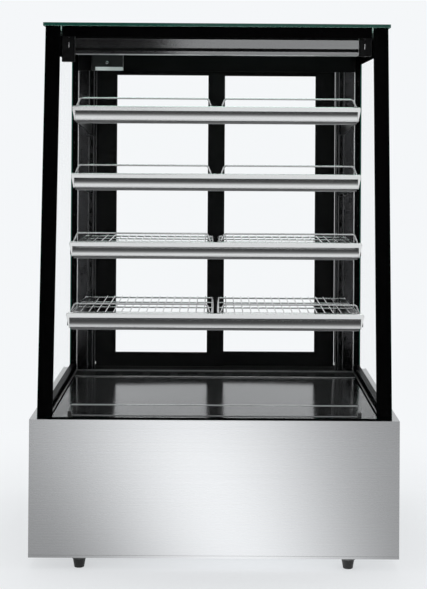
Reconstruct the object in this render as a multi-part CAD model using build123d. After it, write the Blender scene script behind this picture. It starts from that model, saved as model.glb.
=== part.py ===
from build123d import *
import os

# Refrigerated display case. Millimetres, +Z up, customer side towards -Y.
# The origin is on the floor, in the middle of the case.

# Overall sizes
case_width = 900
case_depth = 720
case_height = 1336
foot_height = 28
base_top = 362

# Base cabinet
sheet = 1.5
frame_tube = 25
frame_wall = 2
base_pan_thick = 2
pan_slot_count = 6
pan_slot_start = 90
pan_slot_pitch = 30
pan_slot_size = (150, 10)
ledge_width_side = 45
ledge_width_front = 27
ledge_width_rear = 40
rear_recess = 8
foot_top_radius = 17
foot_bottom_radius = 12
foot_inset_side = 122
foot_inset_front = 24
lip_height = 6
lip_proud = 0.8
louvre_rows = 7
louvre_pitch = 18
louvre_height = 5
louvre_length = 120
louvre_start = 70
louvre_gap = 14

# Insulated well and deck
well_wall = 25
well_floor = 215
well_gap_side = 20
well_gap_end = 20
deck_drop = 6
inner_gap = 1
grille_width = 42
grille_pitch = 15.6
grille_hole = 10
grille_slot = 22
grille_margin = 4
rear_duct_depth = 86
rear_duct_thick = 3
rear_duct_gap = 2
rear_slot_length = 60
rear_slot_width = 8
rear_slot_pitch = 80
rear_slot_row_pitch = 24
deflector_width = 720
deflector_height = 28
deflector_thick = 4
deflector_setback = 75
deflector_corner = 8

# Glass enclosure
side_glass_inset = 18
pane = 4
pane_gap = 16
border_thick = 0.5
spacer_width = 14
front_glass_thick = 8
front_glass_foot_setback = 8
front_glass_head_setback = 114
front_band_side = 37
front_band_head = 27
band_gap = 3
seal_height = 3
top_glass_thick = 8
top_glass_overhang = 7
top_glass_proud = 3
top_glass_corner = 6
side_band_front = 30
side_band_rear = 8
side_band_foot = 4
side_band_head = 62

# Top frame and canopy lamp
head_rail_height = 26
head_rail_depth = 24
head_gap = 3
side_rail_width = 18
side_rail_height = 20
canopy_face = 23
canopy_groove = 8
canopy_groove_depth = 8
canopy_flange = 8
canopy_depth = 44
canopy_wall = 1.5
canopy_nose = 1.35
canopy_end_gap = 1
canopy_top_gap = 5
diffuser_height = 4
canopy_bracket_width = 32
canopy_bracket_drop_left = 20
canopy_bracket_drop_right = 2
hanger_width = 20
hanger_depth = 12
hanger_setback = 8

# Rear structure and sliding doors
post_width = 55
post_wall = 2
header_height = 47
fascia_drop = 39
fascia_thick = 4
door_thick = 14
door_track_gap = 4
door_face_gap = 3
door_rib_clearance = 0.5
door_glide_height = 1.5
door_glide_length = 30
door_glide_thick = 8
door_side_clearance = 2
door_running_clearance = 0.5
door_stile = 47
door_outer_stile = 56
door_rail_foot = 44
door_rail_head = 49
door_glass_thick = 5
door_glass_bite = 8
track_plate = 3
track_rib_height = 7
track_rib_thick = 1.5
upper_engagement = 7
pull_length = 120
pull_width = 22
pull_depth = 8
pull_wall = 1.5
pull_corner = 8
pull_height = 790
slot_pitch = 40
slot_height = 16
slot_width = 4
slot_start = 60
slot_head_gap = 26
junction_size = (92, 30, 45)
junction_offset = 14
junction_corner = 3
junction_screw_radius = 4
junction_screw_head = 2

# Shelves, listed from the lowest to the highest
shelf_count = 4
first_shelf_height = 248.5
top_tier_height = 200
shelf_glass_gaps = (35, 72, 83, 77)
shelf_side_clearance = 38
shelf_rear_gap = 164
trim_height = 38
trim_band = 12
trim_depth = 15
trim_sheet = 1.5
trim_nose = 3
trim_cove = 8
trim_bead = 4
trim_lip_setback = 2
end_cap = 7
end_cap_taper = 6
rack_drop = 12
rack_wire = 1.5
rack_border = 2.5
rack_pitch = 21.5
rack_centre_gap = 5
rack_side_inset = 2
rack_front_gap = 3
rack_cross_wires = 3
rack_cross_wire = 2
rack_corner = 10
guard_wire = 2.25
guard_lean = 4
guard_bend = 8
weld_depth = 0.5
guard_rise = 20
guard_foot_inset = 14
guard_side_inset = 16
bracket_thick = 3
bracket_front_height = 16
bracket_rear_height = 52
bracket_hook_length = 40
lamp_depth = 26
lamp_height = 23
lamp_trim_gap = 3
lamp_rack_gap = 3
lamp_end_gap = 6
lamp_corner = 3
lamp_diffuser = 3
lamp_lens_end = 8
lamp_lens_side = 3
lamp_tab_depth = 12
lamp_tab_height = 8
lamp_tab_inset = 6
lamp_tab_drop = 4

# Lamp leads between the lamps and the posts
lead_radius = 1.6
plug_radius = 4
plug_length = 14
plug_bracket_gap = 17.5
plug_drop = 30
lead_sides = (-1, -1, 1, -1)
lead_drop = 8
lead_loop = 36
lead_rise = 12
lead_bend = 6
lead_bracket_gap = 12

# Refrigeration machinery
compressor_radius = 72
compressor_height = 150
compressor_place = (215, 140)
compressor_foot = 12
compressor_foot_radius = 10
compressor_foot_inset = 14
compressor_dome = 28
compressor_plate = 3
compressor_plate_lap = 18
compressor_plate_setback = 12
fan_radius = 72
fan_hub_radius = 20
fan_hub_length = 24
fan_blades = 5
fan_clearance = 4
fan_motor_radius = 24
fan_motor_length = 30
fan_motor_gap = 1
fan_blade_pitch = 32
fan_blade_thick = 2
fan_arm_height = 16
fan_arm_thick = 6
fan_arm_lap = 20
condenser_size = (290, 44, 150)
condenser_place = (-190, 285)
condenser_tubes = 5
coil_foot_gap = 2
shroud_gap = 6
shroud_rise = 4
fin_pitch = 14
fin_thick = 1.4
tube_radius = 5
shroud_thick = 2
evaporator_size = (420, 90, 84)
evaporator_y = 60
evaporator_tubes = 4
evaporator_foot_gap = 4
evaporator_end = 2
evap_fan_radius = 36
evap_fan_hub = 12
evap_fan_spacing = 190
evap_fan_plate_y = -60
evap_fan_length = 22
evap_fan_setback = 5
evap_motor_radius = 16
evap_motor_length = 22
evap_motor_setback = 28
evap_arm_reach = 52
evap_arm_width = 6
evap_arm_height = 12
evap_arm_setback = 40
evap_arm_thick = 4
pipe_radius = 4
drier_radius = 11
drier_length = 90
drier_gap = 60
drier_setback = 50
capillary_radius = 2.4
pipe_bend = 14
pipe_run = 50
tray_size = (220, 180, 34)
tray_place = (-140, -120)
tray_wall = 2
electric_size = (150, 140, 110)
electric_place = (300, -160)
electric_corner = 4

# Controls on the service side
control_size = (180, 60)
control_place = (300, 290)
control_plate = 2
control_lap = 8
control_corner = 4
controller_size = (76, 26, 2)
controller_offset = 28
controller_rise = 10
controller_corner = 3
controller_board_depth = 20
controller_board_gap = 12
controller_board_foot = 24
controller_board_head = 20
controller_arm = 4
controller_arm_reach = 18
button_radius = 4.5
button_proud = 2
button_pitch = 15
button_clearance = 0.4
button_drop = 15
button_collar = 1.2
button_collar_gap = 0.2
button_collar_thick = 2.5
button_stem = 4
rocker_size = (14, 22)
rocker_end_gap = 1.5
rocker_side_gap = 0.5
rocker_tilt = 8
rocker_clearance = 0.6
rocker_pitch = 30
rocker_offset = 30
rocker_pivot = 2
rocker_corner = 1
switch_body_depth = 20
switch_body_gap = 8
switch_body_lap = 1
switch_clip_reach = 4
switch_clip_thick = 3
inlet_size = (48, 24, 28)
inlet_wall = 6
inlet_foot = 70

# Places worked out from the sizes above
half_width = case_width / 2
half_depth = case_depth / 2
glass_top = case_height - top_glass_thick
glass_outer = half_width - side_glass_inset
glass_unit = 2 * pane + pane_gap
glass_inner = glass_outer - glass_unit
deck_top = base_top - deck_drop
rear_face = half_depth - rear_recess
post_depth = 2 * door_thick + door_track_gap + 2 * door_face_gap
post_front = rear_face - post_depth
post_inner = glass_inner - post_width
frame_top = base_top - sheet
frame_front = -half_depth + sheet
frame_rear = rear_face - sheet
frame_side = half_width - sheet
top_frame_reach = glass_outer - front_band_side - band_gap
shelf_half = glass_inner - shelf_side_clearance
shelf_rear = post_front - shelf_rear_gap
top_shelf = glass_top - top_tier_height
shelf_pitch = (top_shelf - base_top - first_shelf_height) / (shelf_count - 1)
slot_count = int((glass_top - base_top - slot_start - slot_head_gap) // slot_pitch)
front_slope = (front_glass_head_setback - front_glass_foot_setback) / (glass_top - base_top)
well_side = frame_side - frame_tube - well_gap_side
well_front = frame_front + frame_tube + well_gap_end
well_rear = frame_rear - frame_tube - well_gap_end
well_top = deck_top - sheet
grille_front = frame_front + frame_tube + 1
deck_front = grille_front + grille_width
duct_front = post_front - rear_duct_depth
door_width = post_inner - door_side_clearance + door_stile / 2
door_foot = base_top + track_plate + door_running_clearance
header_foot = glass_top - header_height
door_head = header_foot - door_running_clearance
inner_track = post_front + door_face_gap
outer_track = inner_track + door_thick + door_track_gap
slide_travel = door_width - door_stile - door_outer_stile / 2
lamp_half = shelf_half - bracket_thick - lamp_end_gap
inner_half = glass_inner - inner_gap


def block(x, y, z):
    """Box between two limits on each axis."""
    size = [limits[1] - limits[0] for limits in (x, y, z)]
    middle = [(limits[1] + limits[0]) / 2 for limits in (x, y, z)]
    return Pos(*middle) * Box(*size)


def rod(start, end, radius):
    """Round bar from one point to another."""
    line = Vector(*end) - Vector(*start)
    return Plane(origin=start, z_dir=line) * Cylinder(
        radius, line.length, align=(Align.CENTER, Align.CENTER, Align.MIN))


def side_sheet(points, x):
    """Flat outline of (y, z) points, extruded between two x limits."""
    face = make_face(Polyline(*[(x[0], y, z) for y, z in points], close=True))
    return extrude(face, amount=x[1] - x[0], dir=(1, 0, 0))


def mirrored(shapes):
    """The shapes and their mirror images across the middle of the case."""
    return list(shapes) + [mirror(shape, about=Plane.YZ) for shape in shapes]


def bent_wire(points, radius, corner):
    """Round wire along straight runs with one bend radius at the corners."""
    path = FilletPolyline(*points, radius=corner)
    section = Plane(origin=path @ 0, z_dir=path % 0) * Circle(radius)
    return sweep(section, path=path)


def front_glass_y(height):
    """Outer face of the leaning front glass at a height."""
    return -half_depth + front_glass_foot_setback + (height - base_top) * front_slope


# Base cabinet


def base_frame():
    """Welded square tube frame: four posts, four lower and four upper rails."""
    foot = foot_height + base_pan_thick
    pieces = []
    for x in (-frame_side, frame_side - frame_tube):
        for y in (frame_front, frame_rear - frame_tube):
            outer = block((x, x + frame_tube), (y, y + frame_tube), (foot, frame_top))
            wall = frame_wall
            bore = block((x + wall, x + frame_tube - wall), (y + wall, y + frame_tube - wall),
                         (foot, frame_top))
            pieces.append(outer - bore)
    for z in (foot, frame_top - frame_tube):
        for y in (frame_front, frame_rear - frame_tube):
            pieces.append(rail_x(y, z))
        for x in (-frame_side, frame_side - frame_tube):
            pieces.append(rail_y(x, z))
    return pieces


def rail_x(y, z):
    """Square tube across the case, between two posts."""
    reach = frame_side - frame_tube
    outer = block((-reach, reach), (y, y + frame_tube), (z, z + frame_tube))
    bore = block((-reach, reach), (y + frame_wall, y + frame_tube - frame_wall),
                 (z + frame_wall, z + frame_tube - frame_wall))
    return outer - bore


def rail_y(x, z):
    """Square tube from front to back, between two posts."""
    ends = (frame_front + frame_tube, frame_rear - frame_tube)
    outer = block((x, x + frame_tube), ends, (z, z + frame_tube))
    bore = block((x + frame_wall, x + frame_tube - frame_wall), ends,
                 (z + frame_wall, z + frame_tube - frame_wall))
    return outer - bore


def base_pan():
    """Floor sheet of the base, with intake slots under the machinery."""
    pan = block((-frame_side, frame_side), (frame_front, frame_rear),
                (foot_height, foot_height + base_pan_thick))
    slot = extrude(SlotOverall(*pan_slot_size), amount=base_pan_thick)
    for row in range(pan_slot_count):
        y = pan_slot_start + row * pan_slot_pitch
        pan -= Pos(condenser_place[0], y, foot_height) * slot
    return [pan]


def feet():
    """Four tapered feet."""
    x = half_width - foot_inset_side
    y = half_depth - foot_inset_front
    cone = Cone(foot_bottom_radius, foot_top_radius, foot_height,
                align=(Align.CENTER, Align.CENTER, Align.MIN))
    return [Pos(sx * x, sy * y, 0) * cone for sx in (-1, 1) for sy in (-1, 1)]


def front_panel():
    """Brushed front sheet with a top ledge and a rolled lip at its foot."""
    skin = -half_depth + lip_proud
    face = block((-half_width, half_width), (skin, frame_front), (foot_height, base_top))
    lip = block((-half_width, half_width), (-half_depth, frame_front),
                (foot_height, foot_height + lip_height))
    ledge = block((-half_width + ledge_width_side, half_width - ledge_width_side),
                  (frame_front, frame_front + ledge_width_front), (frame_top, base_top))
    return [face + lip + ledge]


def side_panel():
    """Right side sheet with the ledge that carries the side glass."""
    face = block((frame_side, half_width), (frame_front, half_depth), (foot_height, base_top))
    ledge = block((half_width - ledge_width_side, frame_side),
                  (frame_front, half_depth - rear_recess), (frame_top, base_top))
    return face + ledge


def service_panel():
    """Rear sheet with louvres, a window for the controls and the door ledge."""
    face = block((-frame_side, frame_side), (frame_rear, rear_face), (foot_height, frame_top))
    for row in range(louvre_rows):
        z = louvre_start + row * louvre_pitch
        for column in (-1, 0, 1):
            x = condenser_place[0] + column * (louvre_length + louvre_gap)
            face -= block((x - louvre_length / 2, x + louvre_length / 2),
                          (frame_rear, rear_face), (z, z + louvre_height))
    cx, cz = control_place
    wide = control_size[0] / 2 - control_lap
    tall = control_size[1] / 2 - control_lap
    face -= block((cx - wide, cx + wide), (frame_rear, rear_face), (cz - tall, cz + tall))
    reach = half_width - ledge_width_side
    ledge = block((-reach, reach), (rear_face - ledge_width_rear, rear_face),
                  (frame_top, base_top))
    return [face + ledge]


# Insulated well and deck


def insulated_well():
    """Foamed tub that holds the evaporator, as a floor and four walls."""
    side = well_side
    inner = side - well_wall
    floor = well_floor + well_wall
    pieces = [block((-side, side), (well_front, well_rear), (well_floor, floor))]
    for x in ((-side, -inner), (inner, side)):
        pieces.append(block(x, (well_front, well_rear), (floor, well_top)))
    for y in ((well_front, well_front + well_wall), (well_rear - well_wall, well_rear)):
        pieces.append(block((-inner, inner), y, (floor, well_top)))
    return pieces


def deck_pan():
    """Brushed deck sheet over the well."""
    return [block((-inner_half, inner_half), (deck_front, duct_front), (well_top, deck_top))]


def air_grille():
    """Perforated strip in front of the deck."""
    strip = block((-inner_half, inner_half), (grille_front, deck_front), (well_top, deck_top))
    columns = int((2 * inner_half - grille_pitch) // grille_pitch)
    middle = grille_front + grille_slot / 2 + grille_margin
    slot = Rot(0, 0, 90) * SlotOverall(grille_slot, grille_hole)
    punched = Sketch() + [place * slot for place in GridLocations(grille_pitch, 1, columns, 1)]
    return [strip - Pos(0, middle, well_top) * extrude(punched, amount=sheet)]


def air_deflector():
    """Clear upstand behind the grille, with rounded top corners."""
    y = -half_depth + deflector_setback
    plate = block((-deflector_width / 2, deflector_width / 2), (y, y + deflector_thick),
                  (deck_top, deck_top + deflector_height))
    corners = plate.edges().filter_by(Axis.Y).group_by(Axis.Z)[-1]
    return [fillet(corners, deflector_corner)]


def rear_duct_cover():
    """Black cover with air slots between the deck and the doors."""
    cover = block((-inner_half, inner_half), (duct_front, post_front - rear_duct_gap),
                  (well_top, well_top + rear_duct_thick))
    count = int((2 * inner_half - rear_slot_length) // rear_slot_pitch)
    slot = extrude(SlotOverall(rear_slot_length, rear_slot_width), amount=rear_duct_thick)
    for place in GridLocations(rear_slot_pitch, rear_slot_row_pitch, count, 2):
        cover -= Pos(0, (duct_front + post_front) / 2, well_top) * place * slot
    return [cover]


# Glass enclosure


def front_glass():
    """Leaning front pane, between the seal and the top glass."""
    foot = base_top + seal_height
    slope_foot = front_glass_y(foot)
    slope_head = front_glass_y(glass_top)
    outline = [(slope_foot, foot), (slope_foot + front_glass_thick, foot),
               (slope_head + front_glass_thick, glass_top), (slope_head, glass_top)]
    return [side_sheet(outline, (-glass_outer, glass_outer))]


def leaning_strip(x, foot, head, thick):
    """Thin strip on the inner face of the front glass."""
    outline = []
    for z, offset in ((foot, 0), (foot, thick), (head, thick), (head, 0)):
        outline.append((front_glass_y(z) + front_glass_thick + offset, z))
    return side_sheet(outline, x)


def front_glass_border():
    """Printed bands of the front glass and the seal that it stands in."""
    band_foot = glass_top - front_band_head
    foot = base_top + seal_height
    inner = glass_outer - front_band_side
    y = front_glass_y(base_top)
    seal = block((-glass_outer, glass_outer), (y, y + front_glass_thick), (base_top, foot))
    left = leaning_strip((-glass_outer, -inner), foot, glass_top, border_thick)
    right = leaning_strip((inner, glass_outer), foot, glass_top, border_thick)
    head = leaning_strip((-inner + band_gap, inner - band_gap), band_foot, glass_top,
                         border_thick)
    return [seal, left, right, head]


def side_outline(front, rear, foot, head):
    """Outline of a side pane, cut back from the front glass, rear, foot and head."""
    start = front_glass_thick + border_thick + front
    low = base_top + foot
    high = glass_top - head
    return [(front_glass_y(low) + start, low), (rear_face - rear, low),
            (rear_face - rear, high), (front_glass_y(high) + start, high)]


def side_glass():
    """Right side unit: two panes."""
    outline = side_outline(0, 0, 0, 0)
    outer = side_sheet(outline, (glass_outer - pane, glass_outer))
    inner = side_sheet(outline, (glass_inner, glass_inner + pane))
    return [outer, inner]


def side_border():
    """Right side printed border, as four strips, and the four spacer bars."""
    x = (glass_outer - pane - border_thick, glass_outer - pane)
    full = side_outline(0, 0, 0, 0)
    hole = side_outline(side_band_front, side_band_rear, side_band_foot, side_band_head)
    pieces = split_ring(full, hole, x)
    x = (glass_inner + pane, glass_outer - pane - border_thick)
    hole = side_outline(spacer_width, spacer_width, spacer_width, spacer_width)
    return pieces + split_ring(full, hole, x)


def split_ring(outer, inner, x):
    """Four mitred bars between two outlines with matching corners."""
    bars = []
    for index in range(4):
        after = (index + 1) % 4
        bars.append(side_sheet([outer[index], outer[after], inner[after], inner[index]], x))
    return bars


def top_glass():
    """Flat top pane that overhangs the front and side panes."""
    reach = glass_outer + top_glass_overhang
    front = front_glass_y(glass_top) - top_glass_proud
    plate = block((-reach, reach), (front, rear_face), (glass_top, case_height))
    return [fillet(plate.edges().filter_by(Axis.Z), top_glass_corner)]


def head_front():
    """Inner face of the front glass border at the foot of the head rail."""
    return front_glass_y(glass_top) + front_glass_thick + border_thick + head_gap


def top_frame():
    """Head rail, two side rails and the two brackets that carry the canopy lamp."""
    y = head_front()
    rear = post_front - fascia_thick
    reach = top_frame_reach
    rail = block((-reach, reach), (y, y + head_rail_depth),
                 (glass_top - head_rail_height, glass_top))
    side = block((reach - side_rail_width, reach), (y + head_rail_depth, rear),
                 (glass_top - side_rail_height, glass_top))
    foot = glass_top - head_rail_height
    lamp_foot = foot - canopy_top_gap - canopy_height()
    inner = reach - canopy_bracket_width
    left = block((-reach, -inner), (y, y + head_rail_depth),
                 (lamp_foot - canopy_bracket_drop_left, foot))
    right = block((inner, reach), (y, y + head_rail_depth),
                  (lamp_foot - canopy_bracket_drop_right, foot))
    return [rail, left, right] + mirrored([side])


def canopy_span():
    """Half length of the canopy lamp between its brackets."""
    return top_frame_reach - canopy_bracket_width - canopy_end_gap


def canopy_height():
    """Height of the canopy lamp from its top sheet to the foot of its flange."""
    return canopy_face + canopy_groove + canopy_flange


def canopy_lamp_housing():
    """Folded profile of the canopy lamp: a face, a groove, a flange and a back, open below."""
    span = (-canopy_span(), canopy_span())
    wall = canopy_wall
    y = head_front()
    rear = y + canopy_depth
    inset = y + canopy_groove_depth
    head = glass_top - head_rail_height - canopy_top_gap
    face_foot = head - canopy_face
    groove_foot = face_foot - canopy_groove
    foot = head - canopy_height()
    shell = block(span, (y, rear), (head - wall, head))
    shell += block(span, (y, y + wall), (face_foot, head))
    shell += block(span, (y, inset), (face_foot, face_foot + wall))
    shell += block(span, (inset - wall, inset), (groove_foot - wall, face_foot + wall))
    shell += block(span, (y, inset), (groove_foot - wall, groove_foot))
    shell += block(span, (y, y + wall), (foot, groove_foot))
    shell += block(span, (rear - wall, rear), (foot, head))
    nose = shell.edges().filter_by(Axis.X).group_by(Axis.Z)[-1].sort_by(Axis.Y)[0]
    shell = fillet(nose, canopy_nose)
    middle = span[1] / 2
    hanger = block((middle - hanger_width / 2, middle + hanger_width / 2),
                   (y + hanger_setback, y + hanger_setback + hanger_depth),
                   (head, head + canopy_top_gap))
    return [shell] + mirrored([hanger])


def canopy_lamp_diffuser():
    """Frosted lens between the flange and the back of the canopy profile."""
    y = head_front()
    foot = glass_top - head_rail_height - canopy_top_gap - canopy_height()
    return [block((-canopy_span(), canopy_span()),
                  (y + canopy_wall, y + canopy_depth - canopy_wall),
                  (foot, foot + diffuser_height))]


def junction_box():
    """Small driver box on the header fascia, with its cover screw."""
    length, depth, height = junction_size
    x = -post_inner - junction_offset + length / 2
    rear = post_front - fascia_thick
    foot = header_foot - fascia_drop
    body = block((x - length / 2, x + length / 2), (rear - depth, rear), (foot, foot + height))
    body = fillet(body.edges().filter_by(Axis.Z).group_by(Axis.Y)[0], junction_corner)
    middle = foot + height / 2
    screw = rod((x, rear - depth, middle), (x, rear - depth - junction_screw_head, middle),
                junction_screw_radius)
    return [body, screw]


# Rear structure and sliding doors


def rear_post():
    """Right rear post, a hollow profile with a row of slots for the shelf brackets."""
    post = block((post_inner, glass_inner), (post_front, rear_face), (base_top, glass_top))
    post -= block((post_inner + post_wall, glass_inner - post_wall),
                  (post_front + post_wall, rear_face - post_wall), (base_top, glass_top))
    x = bracket_x()
    first = base_top + slot_start
    for index in range(slot_count):
        z = first + index * slot_pitch
        post -= block((x - slot_width / 2, x + slot_width / 2),
                      (post_front, post_front + post_wall), (z, z + slot_height))
    return post


def rear_header():
    """Header over the doors, with a fascia that hides their top rails."""
    block_part = block((-post_inner, post_inner), (post_front, rear_face),
                       (header_foot, glass_top))
    fascia = block((-inner_half, inner_half),
                   (post_front - fascia_thick, post_front),
                   (header_foot - fascia_drop, glass_top))
    return [block_part, fascia]


def door_tracks():
    """Lower sill with three ribs, and three ribs under the header."""
    pieces = [block((-post_inner, post_inner), (post_front, rear_face),
                    (base_top, base_top + track_plate))]
    gaps = (inner_track - door_rib_clearance - track_rib_thick,
            outer_track - (door_track_gap + track_rib_thick) / 2,
            outer_track + door_thick + door_rib_clearance)
    foot = base_top + track_plate
    head = header_foot
    for y in gaps:
        span = (y, y + track_rib_thick)
        pieces.append(block((-post_inner, post_inner), span, (foot, foot + track_rib_height)))
    for y in gaps:
        span = (y, y + track_rib_thick)
        pieces.append(block((-post_inner, post_inner), span, (head - upper_engagement, head)))
    return pieces


def door_limits(side):
    """Left and right limits of a closed door: side -1 is the left door."""
    outer = side * (post_inner - door_side_clearance)
    inner = outer - side * door_width
    return min(outer, inner), max(outer, inner)


def door_frame(side, track):
    """Two stiles and two rails of a door, with a nylon glide at each foot corner."""
    low, high = door_limits(side)
    left = door_outer_stile if side < 0 else door_stile
    right = door_stile if side < 0 else door_outer_stile
    y = (track, track + door_thick)
    groove = door_glass_thick / 2
    middle = track + door_thick / 2
    slot = (middle - groove, middle + groove)
    foot = door_foot + door_glide_height
    glass_foot = foot + door_rail_foot
    glass_head = door_head - door_rail_head
    bite = door_glass_bite
    pieces = []
    for x, edge in (((low, low + left), low + left), ((high - right, high), high - right)):
        stile = block(x, y, (foot, door_head))
        cut = (edge - bite, edge) if x[0] == low else (edge, edge + bite)
        stile -= block(cut, slot, (glass_foot, glass_head))
        pieces.append(stile)
    span = (low + left, high - right)
    sill = block(span, y, (foot, glass_foot)) - block(span, slot, (glass_foot - bite, glass_foot))
    head = block(span, y, (glass_head, door_head)) - block(
        span, slot, (glass_head, glass_head + bite))
    pieces += [sill, head]
    pull = pull_place(side, track)
    stile_index = 0 if side < 0 else 1
    pieces[stile_index] -= pocket(pull, 0)
    for x in (low + left / 2, high - right / 2):
        pieces.append(block((x - door_glide_length / 2, x + door_glide_length / 2),
                            (middle - door_glide_thick / 2, middle + door_glide_thick / 2),
                            (door_foot, foot)))
    return pieces


def door_glass(side, track):
    """Pane of a door, set into the groove of its frame."""
    low, high = door_limits(side)
    left = door_outer_stile if side < 0 else door_stile
    right = door_stile if side < 0 else door_outer_stile
    middle = track + door_thick / 2
    reach = door_glass_bite
    foot = door_foot + door_glide_height + door_rail_foot
    core = block((low + left, high - right),
                 (middle - door_glass_thick / 2, middle + door_glass_thick / 2),
                 (foot - reach, door_head - door_rail_head + reach))
    wide = block((low + left - reach, high - right + reach),
                 (middle - door_glass_thick / 2, middle + door_glass_thick / 2),
                 (foot, door_head - door_rail_head))
    return [core + wide]


def pull_place(side, track):
    """Middle of the pull on the outer stile, on the rear face of the door."""
    low, high = door_limits(side)
    x = low + door_outer_stile / 2 if side < 0 else high - door_outer_stile / 2
    return x, track + door_thick, pull_height


def pocket(place, wall):
    """Rounded pocket for a recessed pull, smaller by a wall on every side."""
    x, y, z = place
    outline = RectangleRounded(pull_width - 2 * wall, pull_length - 2 * wall,
                               pull_corner - wall)
    face = Plane(origin=(x, y, z), x_dir=(1, 0, 0), z_dir=(0, -1, 0)) * outline
    return extrude(face, amount=pull_depth - wall)


def door_pull(side, track):
    """Recessed cup of a door pull."""
    place = pull_place(side, track)
    return [pocket(place, 0) - pocket(place, pull_wall)]


# Shelves


def trim_top(level):
    """Height of the top of a shelf's front trim."""
    return base_top + first_shelf_height + level * shelf_pitch


def trim_front(level):
    """Front face of a shelf's trim."""
    return front_glass_y(trim_top(level)) + front_glass_thick + shelf_glass_gaps[level]


def bracket_x():
    """Middle plane of the right brackets."""
    return shelf_half - bracket_thick / 2


def bracket_top(level):
    """Height that the rack rests at."""
    return trim_top(level) - rack_drop - rack_wire - 2 * rack_border + weld_depth


def shelf_trim(level):
    """Rolled front trim of a shelf with an end cap at each end."""
    y = trim_front(level)
    z = trim_top(level)
    foot = z - trim_height
    inner = shelf_half - end_cap
    wall = trim_sheet
    nose = trim_nose
    band = z - trim_band
    back = y + trim_cove
    bead = foot + trim_bead
    lip = y + trim_depth - trim_lip_setback
    rear = y + trim_depth
    rise = band - bead
    bow = (rise ** 2 + trim_cove ** 2) / (2 * trim_cove)
    path = make_face([
        Line((rear, z), (y + nose, z)),
        RadiusArc((y + nose, z), (y, z - nose), -nose),
        Line((y, z - nose), (y, band)),
        RadiusArc((y, band), (back, bead), bow),
        RadiusArc((back, bead), (back, foot), -trim_bead / 2),
        Line((back, foot), (lip, foot)),
        Line((lip, foot), (lip, foot + wall)),
        Line((lip, foot + wall), (back + wall, foot + wall)),
        Line((back + wall, foot + wall), (back + wall, bead)),
        RadiusArc((back + wall, bead), (y + wall, band), -bow),
        Line((y + wall, band), (y + wall, z - nose)),
        RadiusArc((y + wall, z - nose), (y + nose, z - wall), nose - wall),
        Line((y + nose, z - wall), (rear, z - wall)),
        Line((rear, z - wall), (rear, z)),
    ])
    profile = Plane(origin=(-inner, 0, 0), x_dir=(0, 1, 0), z_dir=(1, 0, 0)) * path
    rail = extrude(profile, amount=2 * inner)
    return [rail] + mirrored([end_cap_block(y, foot, band, z)])


def end_cap_block(y, foot, band, z):
    """Right end cap of a trim: full width at the band, tapering inwards to the foot."""
    outline = [(shelf_half, z), (shelf_half, band), (shelf_half - end_cap_taper, foot),
               (shelf_half - end_cap, foot), (shelf_half - end_cap, z)]
    face = make_face(Polyline(*[(x, y, height) for x, height in outline], close=True))
    cap = extrude(face, amount=trim_depth, dir=(0, 1, 0))
    nose = cap.edges().filter_by(Axis.X).group_by(Axis.Z)[-1].sort_by(Axis.Y)[0]
    return fillet(nose, trim_nose)


def rack_limits(level):
    """Front and rear of a rack's border wire middle line."""
    return trim_front(level) + trim_depth + rack_front_gap + rack_border, shelf_rear


def shelf_rack(level):
    """Two chrome wire grids side by side, each with a guard rail at the front."""
    right = rack_half(level)
    return mirrored([right])


def rack_half(level):
    """Right grid: border, fill wires, cross wires and guard rail, welded into one."""
    front, rear = rack_limits(level)
    fill_z = trim_top(level) - rack_drop
    low_z = fill_z - rack_wire - rack_border + weld_depth
    x0 = rack_centre_gap + rack_border
    x1 = shelf_half - rack_side_inset
    border = bent_loop(x0, x1, front, rear, low_z)
    wires = [border]
    count = round((x1 - x0) / rack_pitch)
    pitch = (x1 - x0) / count
    for index in range(1, count):
        x = x0 + index * pitch
        wires.append(rod((x, front - 1, fill_z), (x, rear + 1, fill_z), rack_wire))
    for index in range(1, rack_cross_wires + 1):
        y = front + (rear - front) * index / (rack_cross_wires + 1)
        wires.append(rod((x0, y, low_z), (x1, y, low_z), rack_cross_wire))
    rail_z = trim_top(level) + guard_rise
    points = [(x0 + 1, front + guard_lean, low_z), (x0 + guard_foot_inset, front, rail_z),
              (x1 - guard_side_inset, front, rail_z), (x1 - 1, front + guard_lean, low_z)]
    wires.append(bent_wire(points, guard_wire, guard_bend))
    return wires[0].fuse(*wires[1:])


def bent_loop(x0, x1, y0, y1, z):
    """Closed rectangular wire with rounded corners."""
    rounded = RectangleRounded(x1 - x0, y1 - y0, rack_corner)
    outline = Pos((x0 + x1) / 2, (y0 + y1) / 2, z) * rounded
    path = outline.wire()
    section = Plane(origin=path @ 0, z_dir=path % 0) * Circle(rack_border)
    return sweep(section, path=path)


def shelf_bracket(level):
    """Right bracket of a shelf, hooked into the post and tapering to the front."""
    top = bracket_top(level)
    front = trim_front(level) + trim_depth
    x = bracket_x()
    outline = [(front, top), (post_front, top), (post_front, top - bracket_rear_height),
               (post_front - bracket_hook_length, top - bracket_rear_height),
               (front, top - bracket_front_height)]
    return side_sheet(outline, (x - bracket_thick / 2, x + bracket_thick / 2))


def shelf_brackets():
    """Both brackets of every shelf."""
    return mirrored([shelf_bracket(level) for level in range(shelf_count)])


def lamp_box(level):
    """Limits of a shelf lamp behind its trim."""
    y = trim_front(level) + trim_depth - trim_lip_setback + lamp_trim_gap
    z = bracket_top(level) - lamp_rack_gap
    return (-lamp_half, lamp_half), (y, y + lamp_depth), (z - lamp_height, z)


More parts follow.
